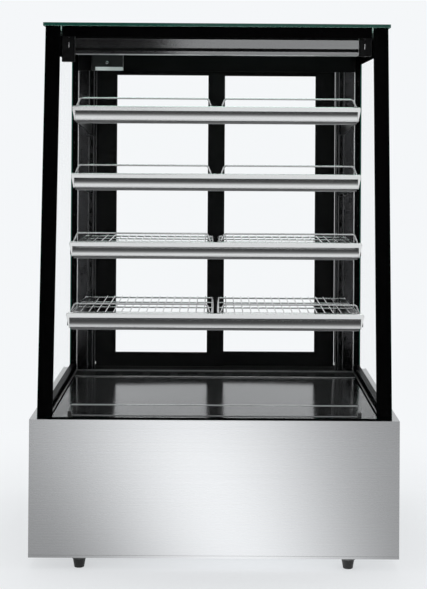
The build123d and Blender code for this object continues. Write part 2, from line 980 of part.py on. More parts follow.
def shelf_lamp(level):
    """Lamp profile under a shelf's front edge, with its lens set into the foot."""
    x, y, z = lamp_box(level)
    body = block(x, y, z)
    body = fillet(body.edges().filter_by(Axis.X).group_by(Axis.Z)[-1], lamp_corner)
    lens = block((x[0] + lamp_lens_end, x[1] - lamp_lens_end),
                 (y[0] + lamp_lens_side, y[1] - lamp_lens_side), (z[0], z[0] + lamp_diffuser))
    tab = block((x[1], x[1] + lamp_end_gap),
                (y[0] + lamp_tab_inset, y[0] + lamp_tab_inset + lamp_tab_depth),
                (z[1] - lamp_tab_drop - lamp_tab_height, z[1] - lamp_tab_drop))
    return [body - lens, lens] + mirrored([tab])


def shelf_lamps():
    """Lamps of all shelves."""
    pieces = []
    for level in range(shelf_count):
        pieces += shelf_lamp(level)
    return pieces


def lamp_lead(level):
    """Lead from a plug on a rear post, under the bracket and along it to the lamp."""
    side = lead_sides[level]
    rest = bracket_top(level)
    plug_x = side * (bracket_x() + plug_bracket_gap)
    plug_z = rest - plug_drop
    plug_front = post_front - plug_length
    along = side * (bracket_x() - lead_bracket_gap)
    level_z = rest - lead_rise
    low_z = rest - bracket_rear_height - lead_drop
    turn_y = plug_front - lead_loop
    lamp_rear = lamp_box(level)[1][1]
    points = [(plug_x, plug_front, plug_z),
              (plug_x, plug_front - lead_loop / 2, plug_z),
              (plug_x - side * 6, plug_front - lead_loop * 0.8, low_z),
              (along, turn_y, low_z),
              (along, turn_y - lead_loop, level_z),
              (along, lamp_rear, level_z)]
    lead = bent_wire(points, lead_radius, lead_bend)
    plug = rod((plug_x, post_front, plug_z), (plug_x, plug_front, plug_z), plug_radius)
    return [lead, plug]


def lamp_leads():
    """Leads and plugs of all shelf lamps."""
    pieces = []
    for level in range(shelf_count):
        pieces += lamp_lead(level)
    return pieces


# Refrigeration machinery


def machine_floor():
    """Top of the floor pan."""
    return foot_height + base_pan_thick


def compressor():
    """Hermetic compressor: domed shell, mounting plate and rubber feet."""
    x, y = compressor_place
    floor = machine_floor()
    base = floor + compressor_foot
    head = base + compressor_plate
    shell = Pos(x, y, head) * Cylinder(compressor_radius, compressor_height - compressor_plate,
                                       align=(Align.CENTER, Align.CENTER, Align.MIN))
    shell = fillet(shell.edges().group_by(Axis.Z)[-1], compressor_dome)
    reach = compressor_radius + compressor_plate_lap
    depth = compressor_radius - compressor_plate_setback
    plate = block((x - reach, x + reach), (y - depth, y + depth), (base, head))
    pieces = [shell + plate]
    spots = GridLocations(2 * (reach - compressor_foot_inset), 2 * (depth - compressor_foot_inset),
                          2, 2)
    foot = Cylinder(compressor_foot_radius, compressor_foot,
                    align=(Align.CENTER, Align.CENTER, Align.MIN))
    return pieces + [Pos(x, y, floor) * spot * foot for spot in spots]


def finned_coil(place, size, axis_rows):
    """Finned block: plates across X joined by tubes along X, with end bends."""
    length, depth, height = size
    x, y, z = place
    count = int(length // fin_pitch)
    start = x - (count - 1) * fin_pitch / 2
    solids = []
    for row in range(axis_rows):
        level = z - height / 2 + height * (row + 0.5) / axis_rows
        solids.append(rod((x - length / 2, y, level), (x + length / 2, y, level), tube_radius))
    for index in range(count):
        middle = start + index * fin_pitch
        solids.append(block((middle - fin_thick / 2, middle + fin_thick / 2),
                            (y - depth / 2, y + depth / 2), (z - height / 2, z + height / 2)))
    return solids[0].fuse(*solids[1:])


def condenser_coil():
    """Condenser, upright in front of the louvres."""
    x, y = condenser_place
    return [finned_coil((x, y, fan_height()), condenser_size, condenser_tubes)]


def condenser_shroud():
    """Sheet with a round mouth, standing in front of the condenser on the floor pan."""
    length, depth, height = condenser_size
    x, y = condenser_place
    floor = machine_floor()
    rear = y - depth / 2 - shroud_gap
    plate = block((x - length / 2, x + length / 2), (rear - shroud_thick, rear),
                  (floor, floor + height + shroud_rise))
    z = fan_height()
    plate -= rod((x, rear - 2 * shroud_thick, z), (x, rear + shroud_thick, z),
                 fan_radius + fan_clearance)
    edge = fan_radius + fan_clearance + fan_arm_lap
    back = motor_y() + 2 * fan_arm_thick
    span_z = (z - fan_arm_height / 2, z + fan_arm_height / 2)
    arm = block((x - edge, x + edge), (back - fan_arm_thick, back), span_z)
    motor = rod((x, motor_y(), z), (x, motor_y() + fan_motor_length, z), fan_motor_radius)
    stand = motor + arm
    for low in (x - edge, x + edge - fan_arm_thick):
        stand += block((low, low + fan_arm_thick), (back, rear - shroud_thick), span_z)
    return [plate, stand]


def fan_height():
    """Height of the condenser fan's axis."""
    return machine_floor() + condenser_size[2] / 2 + coil_foot_gap


def motor_y():
    """Front of the condenser fan motor."""
    front = condenser_place[1] - condenser_size[1] / 2 - shroud_gap - shroud_thick
    return front - fan_hub_length - fan_motor_gap - fan_motor_length


def fan_wheel(place, radius, hub, length, blades):
    """Fan with pitched blades, on an axis along Y."""
    x, y, z = place
    wheel = rod((x, y, z), (x, y + length, z), hub)
    root = hub / 2
    blade = Box(radius - root, fan_blade_thick, length)
    blade = Pos((radius + root) / 2, 0, 0) * Rot(fan_blade_pitch, 0, 0) * blade
    for index in range(blades):
        wheel += Pos(x, y + length / 2, z) * Rot(0, index * 360 / blades, 0) * blade
    envelope = rod((x, y, z), (x, y + length, z), radius)
    return wheel & envelope


def condenser_fan():
    """Condenser fan in the mouth of its shroud."""
    y = motor_y() + fan_motor_length + fan_motor_gap / 2
    place = (condenser_place[0], y, fan_height())
    return [fan_wheel(place, fan_radius, fan_hub_radius, fan_hub_length, fan_blades)]


def evaporator_floor():
    """Floor of the insulated well."""
    return well_floor + well_wall


def evaporator_coil():
    """Evaporator, lying across the well."""
    height = evaporator_size[2]
    z = evaporator_floor() + height / 2 + evaporator_foot_gap
    coil = finned_coil((0, evaporator_y, z), evaporator_size, evaporator_tubes)
    reach = evaporator_size[0] / 2
    y = (evaporator_y - evaporator_size[1] / 2, evaporator_y + evaporator_size[1] / 2)
    floor = evaporator_floor()
    ends = block((reach, reach + evaporator_end), y, (floor, z + height / 2))
    return [coil] + mirrored([ends])


def evaporator_fan_plate():
    """Plate across the well with two round mouths and the fan motors."""
    reach = well_side - well_wall
    floor = evaporator_floor()
    y = evap_fan_plate_y
    plate = block((-reach, reach), (y, y + shroud_thick), (floor, well_top))
    z = evap_fan_height()
    front = y + evap_motor_setback
    back = y + evap_arm_setback
    span_z = (z - evap_arm_height / 2, z + evap_arm_height / 2)
    motors = []
    for side in (-1, 1):
        x = side * evap_fan_spacing
        plate -= rod((x, y - shroud_thick, z), (x, y + 2 * shroud_thick, z),
                     evap_fan_radius + fan_clearance)
        motor = rod((x, front, z), (x, front + evap_motor_length, z), evap_motor_radius)
        motor += block((x - evap_arm_reach, x + evap_arm_reach), (back, back + evap_arm_thick),
                       span_z)
        for low in (x - evap_arm_reach, x + evap_arm_reach - evap_arm_width):
            motor += block((low, low + evap_arm_width), (y + shroud_thick, back), span_z)
        motors.append(motor)
    return [plate] + motors


def evap_fan_height():
    """Height of the evaporator fans' axes."""
    return (evaporator_floor() + well_top) / 2


def evaporator_fan(side):
    """One evaporator fan."""
    place = (side * evap_fan_spacing, evap_fan_plate_y + evap_fan_setback, evap_fan_height())
    return [fan_wheel(place, evap_fan_radius, evap_fan_hub, evap_fan_length, fan_blades)]


def refrigerant_pipes():
    """Discharge, liquid and suction lines, with the filter drier."""
    x, y = compressor_place
    length, depth, height = condenser_size
    cx, cy = condenser_place
    end = cx + length / 2
    foot = machine_floor() + coil_foot_gap
    high = foot + height * (condenser_tubes - 1.5) / condenser_tubes
    low = foot + height * 0.5 / condenser_tubes
    shell_rear = y + compressor_radius
    discharge = bent_wire([(x, shell_rear, high), (x, cy, high), (end, cy, high)],
                          pipe_radius, pipe_bend)
    drier_x = end + drier_gap
    drier_front = cy - drier_setback
    drier_end = drier_front - drier_length
    liquid = bent_wire([(end, cy, low), (drier_x, cy, low), (drier_x, drier_front, low)],
                       pipe_radius, pipe_bend)
    drier = rod((drier_x, drier_front, low), (drier_x, drier_end, low), drier_radius)
    rise = bent_wire([(drier_x, drier_end, low), (drier_x, drier_end - pipe_run, low),
                      (drier_x, drier_end - pipe_run, well_floor)],
                     capillary_radius, pipe_bend)
    start = x - compressor_radius
    turn = start - pipe_run
    level = machine_floor() + compressor_height / 2
    suction = bent_wire([(start, y, level), (turn, y, level), (turn, y, well_floor)],
                        pipe_radius, pipe_bend)
    return [discharge, liquid, drier, rise, suction]


def condensate_tray():
    """Tray for melt water, as a floor and four walls."""
    length, depth, height = tray_size
    x, y = tray_place
    floor = machine_floor()
    wall = tray_wall
    span_x = (x - length / 2, x + length / 2)
    span_y = (y - depth / 2, y + depth / 2)
    pieces = [block(span_x, span_y, (floor, floor + wall))]
    for side in ((span_x[0], span_x[0] + wall), (span_x[1] - wall, span_x[1])):
        pieces.append(block(side, span_y, (floor + wall, floor + height)))
    for side in ((span_y[0], span_y[0] + wall), (span_y[1] - wall, span_y[1])):
        pieces.append(block((span_x[0] + wall, span_x[1] - wall), side,
                            (floor + wall, floor + height)))
    return pieces


def electric_box():
    """Terminal box on the floor pan and the mains inlet on the rear sheet."""
    length, depth, height = electric_size
    x, y = electric_place
    floor = machine_floor()
    body = block((x - length / 2, x + length / 2), (y - depth / 2, y + depth / 2),
                 (floor, floor + height))
    body = fillet(body.edges().filter_by(Axis.Z), electric_corner)
    wide, deep, tall = inlet_size
    wall = inlet_wall
    inlet = block((x - wide / 2, x + wide / 2), (frame_rear - deep, frame_rear),
                  (inlet_foot, inlet_foot + tall))
    well = block((x - wide / 2 + wall, x + wide / 2 - wall), (frame_rear - deep + wall, frame_rear),
                 (inlet_foot + wall, inlet_foot + tall - wall))
    return [body, inlet - well]


# Controls on the service side


def control_panel():
    """Plate that closes the window of the rear sheet, with holes for the controls."""
    cx, cz = control_place
    width, height = control_size
    plate = block((cx - width / 2, cx + width / 2), (rear_face, rear_face + control_plate),
                  (cz - height / 2, cz + height / 2))
    plate = fillet(plate.edges().filter_by(Axis.Y), control_corner)
    for index in range(3):
        x = button_x(index)
        plate -= rod((x, rear_face, button_z()), (x, rear_face + control_plate, button_z()),
                     button_radius + button_clearance)
    for index in range(2):
        x, z = rocker_place(index)
        wide = rocker_size[0] / 2 + rocker_clearance
        tall = rocker_size[1] / 2 + rocker_clearance
        plate -= block((x - wide, x + wide), (rear_face, rear_face + control_plate),
                       (z - tall, z + tall))
    return [plate]


def button_x(index):
    """Place of a controller button across the plate."""
    return control_place[0] - controller_offset + (1 - index) * button_pitch


def button_z():
    """Height of the controller buttons."""
    return control_place[1] - button_drop


def rocker_place(index):
    """Place of a rocker switch on the plate."""
    return control_place[0] + rocker_offset + index * rocker_pitch, control_place[1]


def controller():
    """Temperature display in front of the plate and its board housing behind."""
    cx, cz = control_place
    wide, tall, proud = controller_size
    x = cx - controller_offset
    z = cz + controller_rise
    skin = rear_face + control_plate
    face = block((x - wide / 2, x + wide / 2), (skin, skin + proud), (z - tall / 2, z + tall / 2))
    face = fillet(face.edges().filter_by(Axis.Y), controller_corner)
    rear = frame_rear - controller_board_gap
    body = block((x - wide / 2, x + wide / 2), (rear - controller_board_depth, rear),
                 (cz - controller_board_foot, cz + controller_board_head))
    arms = []
    for low in (x - wide / 2, x + wide / 2 - controller_arm):
        arms.append(block((low, low + controller_arm), (rear, rear_face),
                          (cz - controller_arm_reach, cz + controller_arm_reach)))
    return [face, body] + arms


def button(index):
    """Round controller button with a collar behind the plate."""
    x = button_x(index)
    z = button_z()
    tip = rear_face + control_plate + button_proud
    cap = rod((x, rear_face - button_stem, z), (x, tip, z), button_radius)
    back = rear_face - button_collar_gap
    collar = rod((x, back - button_collar_thick, z), (x, back, z), button_radius + button_collar)
    return [cap + collar]


def rocker(index):
    """Rocker switch actuator, tilted about a pin line behind the plate."""
    x, z = rocker_place(index)
    wide, tall = rocker_size
    wide -= 2 * rocker_side_gap
    tall -= 2 * rocker_end_gap
    pivot = rear_face - rocker_pivot
    body = block((x - wide / 2, x + wide / 2),
                 (pivot - rocker_pivot, rear_face + control_plate + rocker_pivot),
                 (z - tall / 2, z + tall / 2))
    body = fillet(body.edges().filter_by(Axis.X).group_by(Axis.Y)[-1], rocker_corner)
    return [Pos(x, pivot, z) * Rot(rocker_tilt, 0, 0) * Pos(-x, -pivot, -z) * body]


def switch_bodies():
    """Housings behind the two rocker switches."""
    pieces = []
    reach = switch_clip_reach
    rear = rear_face - switch_body_gap
    for index in range(2):
        x, z = rocker_place(index)
        wide = rocker_size[0] / 2 + switch_body_lap
        tall = rocker_size[1] / 2 + switch_body_lap
        pieces.append(block((x - wide, x + wide), (rear - switch_body_depth, rear),
                            (z - tall, z + tall)))
        for low in (z - tall - switch_clip_thick, z + tall):
            pieces.append(block((x - reach, x + reach), (rear - reach, rear_face),
                                (low, low + switch_clip_thick)))
    return pieces


def assembly():
    """Every sub-part by name."""
    parts = {
        "base_frame": base_frame(),
        "base_pan": base_pan(),
        "feet": feet(),
        "front_panel": front_panel(),
        "side_panel_left": [mirror(side_panel(), about=Plane.YZ)],
        "side_panel_right": [side_panel()],
        "service_panel": service_panel(),
        "insulated_well": insulated_well(),
        "deck_pan": deck_pan(),
        "air_grille": air_grille(),
        "air_deflector": air_deflector(),
        "rear_duct_cover": rear_duct_cover(),
        "front_glass": front_glass(),
        "front_glass_border": front_glass_border(),
        "side_glass_left": [mirror(piece, about=Plane.YZ) for piece in side_glass()],
        "side_glass_right": side_glass(),
        "side_glass_borders": mirrored(side_border()),
        "top_glass": top_glass(),
        "top_frame": top_frame(),
        "canopy_lamp_housing": canopy_lamp_housing(),
        "canopy_lamp_diffuser": canopy_lamp_diffuser(),
        "junction_box": junction_box(),
        "rear_posts": mirrored([rear_post()]),
        "rear_header": rear_header(),
        "door_tracks": door_tracks(),
        "shelf_brackets": shelf_brackets(),
        "shelf_lamps": shelf_lamps(),
        "lamp_leads": lamp_leads(),
        "compressor": compressor(),
        "condenser_coil": condenser_coil(),
        "condenser_shroud": condenser_shroud(),
        "condenser_fan": condenser_fan(),
        "evaporator_coil": evaporator_coil(),
        "evaporator_fan_plate": evaporator_fan_plate(),
        "evaporator_fan_left": evaporator_fan(-1),
        "evaporator_fan_right": evaporator_fan(1),
        "refrigerant_pipes": refrigerant_pipes(),
        "condensate_tray": condensate_tray(),
        "electric_box": electric_box(),
        "control_panel": control_panel() + switch_bodies(),
        "controller": controller(),
        "power_switch": rocker(0),
        "light_switch": rocker(1),
    }
    for index, name in enumerate(("button_set", "button_up", "button_down")):
        parts[name] = button(index)
    for side, name, track in ((-1, "left", inner_track), (1, "right", outer_track)):
        parts[f"door_{name}_frame"] = door_frame(side, track)
        parts[f"door_{name}_glass"] = door_glass(side, track)
        parts[f"door_{name}_pull"] = door_pull(side, track)
    for level in range(shelf_count):
        parts[f"shelf_{level + 1}_trim"] = shelf_trim(level)
        parts[f"shelf_{level + 1}_rack"] = shelf_rack(level)
    return parts


os.makedirs("parts", exist_ok=True)
for name, solids in assembly().items():
    export_step(Compound(label=name, children=[Part(solid.wrapped) for solid in solids]),
                f"parts/{name}.step")
print(f"door travel {slide_travel:.1f} mm")
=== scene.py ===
"""Looks of the refrigerated display case: finishes, small fittings, studio and camera."""

import logging
import math
from contextlib import contextmanager
from dataclasses import dataclass
from enum import Enum
from typing import Any, Callable, Iterator, Sequence

import bpy
from mathutils import Matrix, Vector


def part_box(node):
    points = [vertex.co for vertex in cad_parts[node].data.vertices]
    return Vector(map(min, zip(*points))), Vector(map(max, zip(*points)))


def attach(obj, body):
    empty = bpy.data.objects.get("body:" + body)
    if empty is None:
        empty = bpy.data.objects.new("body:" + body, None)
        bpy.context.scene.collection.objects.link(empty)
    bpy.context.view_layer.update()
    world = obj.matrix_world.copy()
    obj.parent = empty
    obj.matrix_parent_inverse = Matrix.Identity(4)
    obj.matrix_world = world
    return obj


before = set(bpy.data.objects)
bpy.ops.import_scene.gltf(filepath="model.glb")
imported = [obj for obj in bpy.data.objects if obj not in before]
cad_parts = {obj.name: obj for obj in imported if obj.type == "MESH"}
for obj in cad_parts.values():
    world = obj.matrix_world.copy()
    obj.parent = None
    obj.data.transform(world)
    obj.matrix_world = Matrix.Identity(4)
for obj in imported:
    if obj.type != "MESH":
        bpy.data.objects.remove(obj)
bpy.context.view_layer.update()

LOG = logging.getLogger("display_case")
Colour = tuple[float, float, float]
Place = Sequence[float]
Piece = bpy.types.Object
Test = Callable[[Vector, Vector], bool]

X, Y, Z = range(3)
SIDES = ("left", "right")
SHELVES = range(1, 5)
ALONG = 0.9  # share of a way or a normal on an axis, from which it counts as along the axis
TOUCH = 0.0001  # metres within which an edge counts as on the top of a piece


class Grain(Enum):
    """Direction of the brushing on a steel sheet, as noise stretch along X, Y and Z."""

    ACROSS = (1.2, 900.0, 900.0)
    DEEP = (420.0, 1.6, 420.0)
    UPRIGHT = (420.0, 420.0, 1.6)


class Pick(Enum):
    """What an edit works on, as Blender's select mode for vertices, edges and faces."""

    EDGES = (False, True, False)
    FACES = (False, False, True)


def grey(value: float) -> Colour:
    """A colour of three equal parts."""
    return (value, value, value)


def scaled(colour: Colour, factor: float) -> Colour:
    """A colour made darker or lighter."""
    return tuple(factor * channel for channel in colour)


def along(axis: int) -> Test:
    """Test for the edges that run along an axis, or the faces that look along it."""
    return lambda middle, way: abs(way[axis]) > ALONG


@dataclass(frozen=True)
class Wire:
    """A shader socket that can be used in Python expressions.

    Attributes:
        tree: Node tree that holds it.
        socket: Output socket of a node.
    """

    tree: bpy.types.NodeTree
    socket: Any

    def _maths(self, operation: str, first: Any, second: Any = None) -> "Wire":
        """Add one Math node.

        Args:
            operation: Name of the operation.
            first: First value or Wire.
            second: Second value or Wire, where the operation has one.

        Returns:
            The result.
        """
        node = self.tree.nodes.new("ShaderNodeMath")
        node.operation = operation
        for index, value in enumerate((first, second)):
            if isinstance(value, Wire):
                self.tree.links.new(value.socket, node.inputs[index])
            elif value is not None:
                node.inputs[index].default_value = value
        return Wire(self.tree, node.outputs[0])

    def __add__(self, other: Any) -> "Wire":
        """Sum."""
        return self._maths("ADD", self, other)

    def __sub__(self, other: Any) -> "Wire":
        """Difference."""
        return self._maths("SUBTRACT", self, other)

    def __rsub__(self, other: Any) -> "Wire":
        """Difference with the socket second."""
        return self._maths("SUBTRACT", other, self)

    def __mul__(self, other: Any) -> "Wire":
        """Product."""
        return self._maths("MULTIPLY", self, other)

    def __truediv__(self, other: Any) -> "Wire":
        """Quotient."""
        return self._maths("DIVIDE", self, other)

    def __pow__(self, other: Any) -> "Wire":
        """Power."""
        return self._maths("POWER", self, other)

    def __abs__(self) -> "Wire":
        """Value without its sign."""
        return self._maths("ABSOLUTE", self)

    def at_least(self, other: Any) -> "Wire":
        """Larger of two values."""
        return self._maths("MAXIMUM", self, other)

    def at_most(self, other: Any) -> "Wire":
        """Smaller of two values."""
        return self._maths("MINIMUM", self, other)


class Recipe:
    """Node tree of one material, or of the world, built through a single node method."""

    def __init__(self, tree: bpy.types.NodeTree) -> None:
        """Empty the tree that is to be filled."""
        self.tree = tree
        tree.nodes.clear()

    def node(self, kind: str, settings: dict[str, Any] | None = None,
             output: int | str = 0, **sockets: Any) -> Wire:
        """Add a node.

        Args:
            kind: Node type without the ShaderNode prefix.
            settings: Attributes set before the sockets.
            output: Output wanted from the node.
            **sockets: Socket values or Wires, by name with underscores for spaces, or s0, s1.

        Returns:
            The wanted output, or an empty Wire where the node has none.
        """
        node = self.tree.nodes.new("ShaderNode" + kind)
        for name, value in (settings or {}).items():
            setattr(node, name, value)
        for name, value in sockets.items():
            socket = self._find(node, name)
            if isinstance(value, Wire):
                self.tree.links.new(value.socket, socket)
            else:
                socket.default_value = self._fit(socket, value)
        return Wire(self.tree, node.outputs[output] if node.outputs else None)

    @staticmethod
    def _find(node: bpy.types.Node, name: str) -> bpy.types.NodeSocket:
        """Input socket by its name, or by its place as s0, s1."""
        if name[0] == "s" and name[1:].isdigit():
            return node.inputs[int(name[1:])]
        return node.inputs[name.replace("_", " ")]

    @staticmethod
    def _fit(socket: bpy.types.NodeSocket, value: Any) -> Any:
        """Give a plain colour its alpha where the socket holds one."""
        if socket.type == "RGBA" and len(value) == 3:
            return (*value, 1.0)
        return value

    def place(self) -> Wire:
        """Object coordinates."""
        return self.node("TexCoord", output="Object")

    def part(self, vector: Wire, axis: int) -> Wire:
        """X, Y or Z of a vector."""
        return self.node("SeparateXYZ", output=axis, Vector=vector)

    def ray(self, name: str) -> Wire:
        """What the light path says of a ray."""
        return self.node("LightPath", output=name)

    def seen(self) -> Wire:
        """1 for the rays of the camera, through glass and of reflections, and 0 for light."""
        camera, through, shiny = (self.ray(f"Is {kind} Ray")
                                  for kind in ("Camera", "Transmission", "Glossy"))
        return camera.at_least(through).at_least(shiny)

    def noise(self, scale: float, stretch: Place = (1, 1, 1), detail: float = 2.0,
              roughness: float = 0.5) -> Wire:
        """Noise value on object coordinates.

        Args:
            scale: Noise scale after the stretch.
            stretch: Scale of the coordinates along X, Y and Z.
            detail: Octaves.
            roughness: Weight of the finer octaves.

        Returns:
            A value about 0.5.
        """
        where = self.node("Mapping", Vector=self.place(), Scale=stretch)
        return self.node("TexNoise", Vector=where, Scale=scale, Detail=detail,
                         Roughness=roughness)

    def mix(self, factor: Any, low: Any, high: Any) -> Wire:
        """Colour between two colours."""
        return self.node("Mix", {"data_type": "RGBA"}, output=2, s0=factor, s6=low, s7=high)

    def span(self, value: Wire, start: float, end: float, low: float = 0.0,
             high: float = 1.0) -> Wire:
        """Smooth and clamped change of range."""
        return self.node("MapRange", {"interpolation_type": "SMOOTHSTEP"}, s0=value,
                         s1=start, s2=end, s3=low, s4=high)

    def bump(self, height: Wire, distance: float) -> Wire:
        """Normal from a height."""
        return self.node("Bump", Height=height, Distance=distance, Strength=1.0)

    def finish(self, shader: Wire, output: str = "OutputMaterial") -> None:
        """Link the shader to the output of the tree."""
        self.node(output, Surface=shader)


@dataclass(frozen=True)
class Finish:
    """A finish that dresses meshes with one material.

    Attributes:
        name: Material name.
    """

    name: str

    def shade(self, recipe: Recipe) -> Wire:
        """Make the shader of the finish.

        Args:
            recipe: Recipe to add the nodes to.

        Returns:
            The shader.
        """
        raise NotImplementedError

    def material(self) -> bpy.types.Material:
        """Make the material once, and reuse it after that.

        Returns:
            The material.
        """
        label = f"{self.name}_look"
        found = bpy.data.materials.get(label)
        if found:
            return found
        made = bpy.data.materials.new(label)
        made.use_nodes = True
        recipe = Recipe(made.node_tree)
        recipe.finish(self.shade(recipe))
        return made

    def dress(self, piece: Piece) -> None:
        """Make this the only material of a piece."""
        piece.data.materials.clear()
        piece.data.materials.append(self.material())


@dataclass(frozen=True)
class BrushedSteel(Finish):
    """Satin stainless sheet with fine parallel brushing, and optional painted shade on the faces
    that look down.

    Attributes:
        tone: Base colour.
        rough: Mean roughness.
        grain: Direction of the brushing.
        depth: Height of the brushing in metres.
        smear: Strength of the broad cloudiness.
        painted_down_shade: Share of the base colour left where the sheet looks down, as painted
            shade.
        line_share: Share of the brushing in the colour; the rest is the cloudiness.
        line_rough: Strength of the brushing in the roughness.
    """

    tone: Colour = (0.63, 0.63, 0.62)
    rough: float = 0.3
    grain: Grain = Grain.ACROSS
    depth: float = 0.00002
    smear: float = 0.08
    painted_down_shade: float = 1.0
    line_share: float = 0.8
    line_rough: float = 0.12

    def shade(self, recipe: Recipe) -> Wire:
        """Metal with line noise in its colour, roughness and relief, and painted shade where it
        looks down.
        """
        lines = recipe.noise(1.0, self.grain.value, detail=3.0, roughness=0.7)
        cloud = recipe.noise(2.2, detail=3.0)
        uneven = lines * self.line_share + cloud * (1.0 - self.line_share)
        colour = recipe.mix(uneven, scaled(self.tone, 0.96), scaled(self.tone, 1.04))
        # Painted shade: the base colour darkens on faces that look down.
        if self.painted_down_shade < 1.0:
            up = recipe.part(recipe.node("NewGeometry", output="Normal"), Z)
            colour = recipe.mix(recipe.span(up, -0.75, -0.05), scaled(self.tone, self.painted_down_shade),
                                colour)
        rough = (lines - 0.5) * self.line_rough + (cloud - 0.5) * self.smear + self.rough
        return recipe.node("BsdfPrincipled", Metallic=1.0, Base_Color=colour, Roughness=rough,
                           Normal=recipe.bump(lines, self.depth))


@dataclass(frozen=True)
class Coated(Finish):
    """Powder coat, anodised or moulded surface with a fine texture and rubbed spots.

    Attributes:
        tone: Base colour.
        rough: Mean roughness.
        metal: Metallic share.
        coat: Weight of a clear coat.
        mirror: Strength of the reflection of a surface that isn't metal.
        texture: Noise scale of the texture, per metre.
        depth: Height of the texture in metres.
    """

    tone: Colour = (0.01, 0.01, 0.011)
    rough: float = 0.35
    metal: float = 0.0
    coat: float = 0.0
    mirror: float = 0.3
    texture: float = 900.0
    depth: float = 0.00003

    def shade(self, recipe: Recipe) -> Wire:
        """Dielectric or metal with fine grain."""
        fine = recipe.noise(self.texture)
        cloud = recipe.noise(7.0, detail=4.0)
        rubbed = tuple(channel * 1.35 + 0.0005 for channel in self.tone)
        return recipe.node(
            "BsdfPrincipled", Metallic=self.metal, Coat_Weight=self.coat,
            Specular_IOR_Level=self.mirror,
            Base_Color=recipe.mix(recipe.span(cloud, 0.3, 0.7), self.tone, rubbed),
            Roughness=(cloud - 0.5) * 0.14 + (fine - 0.5) * 0.08 + self.rough,
            Normal=recipe.bump(fine, self.depth))


@dataclass(frozen=True)
class ClearPane(Finish):
    """Thin clear glass: see-through face on, with a mirror that grows at a slant.

    Attributes:
        tint: Colour of what is seen through one face of the pane.
        edge: Colour of the cut edge.
        axis: Axis that the large faces look along.
        face_on: Share of the mirror seen face on.
        slant: Share that the mirror gains at a slant.
        falloff: Power of the angle by which it gains that share.
    """

    tint: Colour = (0.9992, 1.0, 0.9996)
    edge: Colour = (0.012, 0.12, 0.085)
    axis: int = Y
    face_on: float = 0.0
    slant: float = 0.5
    falloff: float = 5.0

    def shade(self, recipe: Recipe) -> Wire:
        """Clear face, green cut edge and a mirror by the angle."""
        smear = recipe.noise(5.0, detail=3.0)
        mirror = recipe.node("BsdfPrincipled", Base_Color=(0.92, 0.95, 0.94), Metallic=1.0,
                             Roughness=recipe.span(smear, 0.35, 0.8, 0.01, 0.05))
        clear = recipe.node("BsdfTransparent", Color=self.tint)
        turn = recipe.node("LayerWeight", output="Facing", Blend=0.5)
        share = (turn ** self.falloff) * self.slant + self.face_on
        face = recipe.node("MixShader", s0=share.at_most(1.0), s1=clear, s2=mirror)
        look = recipe.part(recipe.node("NewGeometry", output="True Normal"), self.axis)
        cut = recipe.span(look * look, 0.3, 0.5, 1.0, 0.0)
        tone = recipe.mix(recipe.noise(60.0), self.edge, scaled(self.edge, 2.2))
        rim = recipe.node("BsdfPrincipled", Base_Color=tone, Roughness=0.12, Coat_Weight=0.1,
                          Specular_IOR_Level=0.2)
        return recipe.node("MixShader", s0=cut, s1=face, s2=rim)


@dataclass(frozen=True)
class Chrome(Finish):
    """Bright plated metal with slight waviness and dull spots.

    Attributes:
        tone: Base colour.
        rough: Mean roughness.
    """

    tone: Colour = grey(0.58)
    rough: float = 0.12

    def shade(self, recipe: Recipe) -> Wire:
        """Metal with cloudy roughness."""
        cloud = recipe.noise(35.0, detail=3.0)
        return recipe.node("BsdfPrincipled", Metallic=1.0,
                           Base_Color=recipe.mix(cloud, scaled(self.tone, 0.86), self.tone),
                           Roughness=(cloud - 0.5) * 0.12 + self.rough,
                           Normal=recipe.bump(recipe.noise(400.0), 0.00002))


@dataclass(frozen=True)
class Frosted(Finish):
    """Opal lens that spreads the light of a lamp.

    Attributes:
        tone: Base colour between the ribs.
        pale: Base colour on the ribs.
    """

    tone: Colour = (0.55, 0.56, 0.56)
    pale: Colour = (0.66, 0.67, 0.67)

    def shade(self, recipe: Recipe) -> Wire:
        """Milky plastic with fine ribs."""
        ribs = recipe.noise(1.0, (700.0, 3.0, 3.0), detail=1.0)
        return recipe.node("BsdfPrincipled", Base_Color=recipe.mix(ribs, self.tone, self.pale),
                           Roughness=ribs * 0.2 + 0.3, Normal=recipe.bump(ribs, 0.00005))


@dataclass(frozen=True)
class DeckMirror(Finish):
    """Polished deck sheet that mirrors the doors, with the slow waves of thin sheet and a painted
    reflection of the dark posts towards its sides.

    Attributes:
        tone: Base colour.
        rough: Mean roughness.
        metal: Metallic share; the rest is the haze of fine scratches.
        slope: Rise of the drained sheet towards the doors.
        wave: Height of the waves in metres.
        wave_scale: Waves per metre.
        brushing: Height of the brushing in metres.
        inner: Distance from the middle where the painted reflection of the dark posts starts to
            darken the sheet towards its sides.
        outer: Distance where that painted reflection is full.
        painted_reflection_share: Share of the base colour left there, under the painted
            reflection.
    """

    tone: Colour = (0.11, 0.11, 0.112)
    rough: float = 0.13
    metal: float = 0.75
    slope: float = 0.045
    wave: float = 0.010
    wave_scale: float = 2.8
    brushing: float = 0.000004
    inner: float = 0.352
    outer: float = 0.385
    painted_reflection_share: float = 0.2

    def shade(self, recipe: Recipe) -> Wire:
        """Metal whose relief carries the slope, the waves and the brushing, with a painted
        reflection darkening its sides.
        """
        across, deep = (recipe.part(recipe.place(), axis) for axis in (X, Y))
        lines = recipe.noise(1.0, Grain.DEEP.value, detail=3.0, roughness=0.7)
        wave = recipe.noise(self.wave_scale, (1.0, 0.5, 1.0), detail=0.0)
        height = deep * self.slope + wave * self.wave + lines * self.brushing
        # Painted reflection: the base colour darkens towards the sides, where the deck mirrors
        # the dark posts.
        edge = recipe.span(across * across, self.inner ** 2, self.outer ** 2)
        tone = recipe.mix(edge, recipe.mix(lines, scaled(self.tone, 0.9), self.tone),
                          scaled(self.tone, self.painted_reflection_share))
        return recipe.node("BsdfPrincipled", Metallic=self.metal, Base_Color=tone,
                           Roughness=(lines - 0.5) * 0.05 + self.rough,
                           Normal=recipe.bump(height, 1.0))


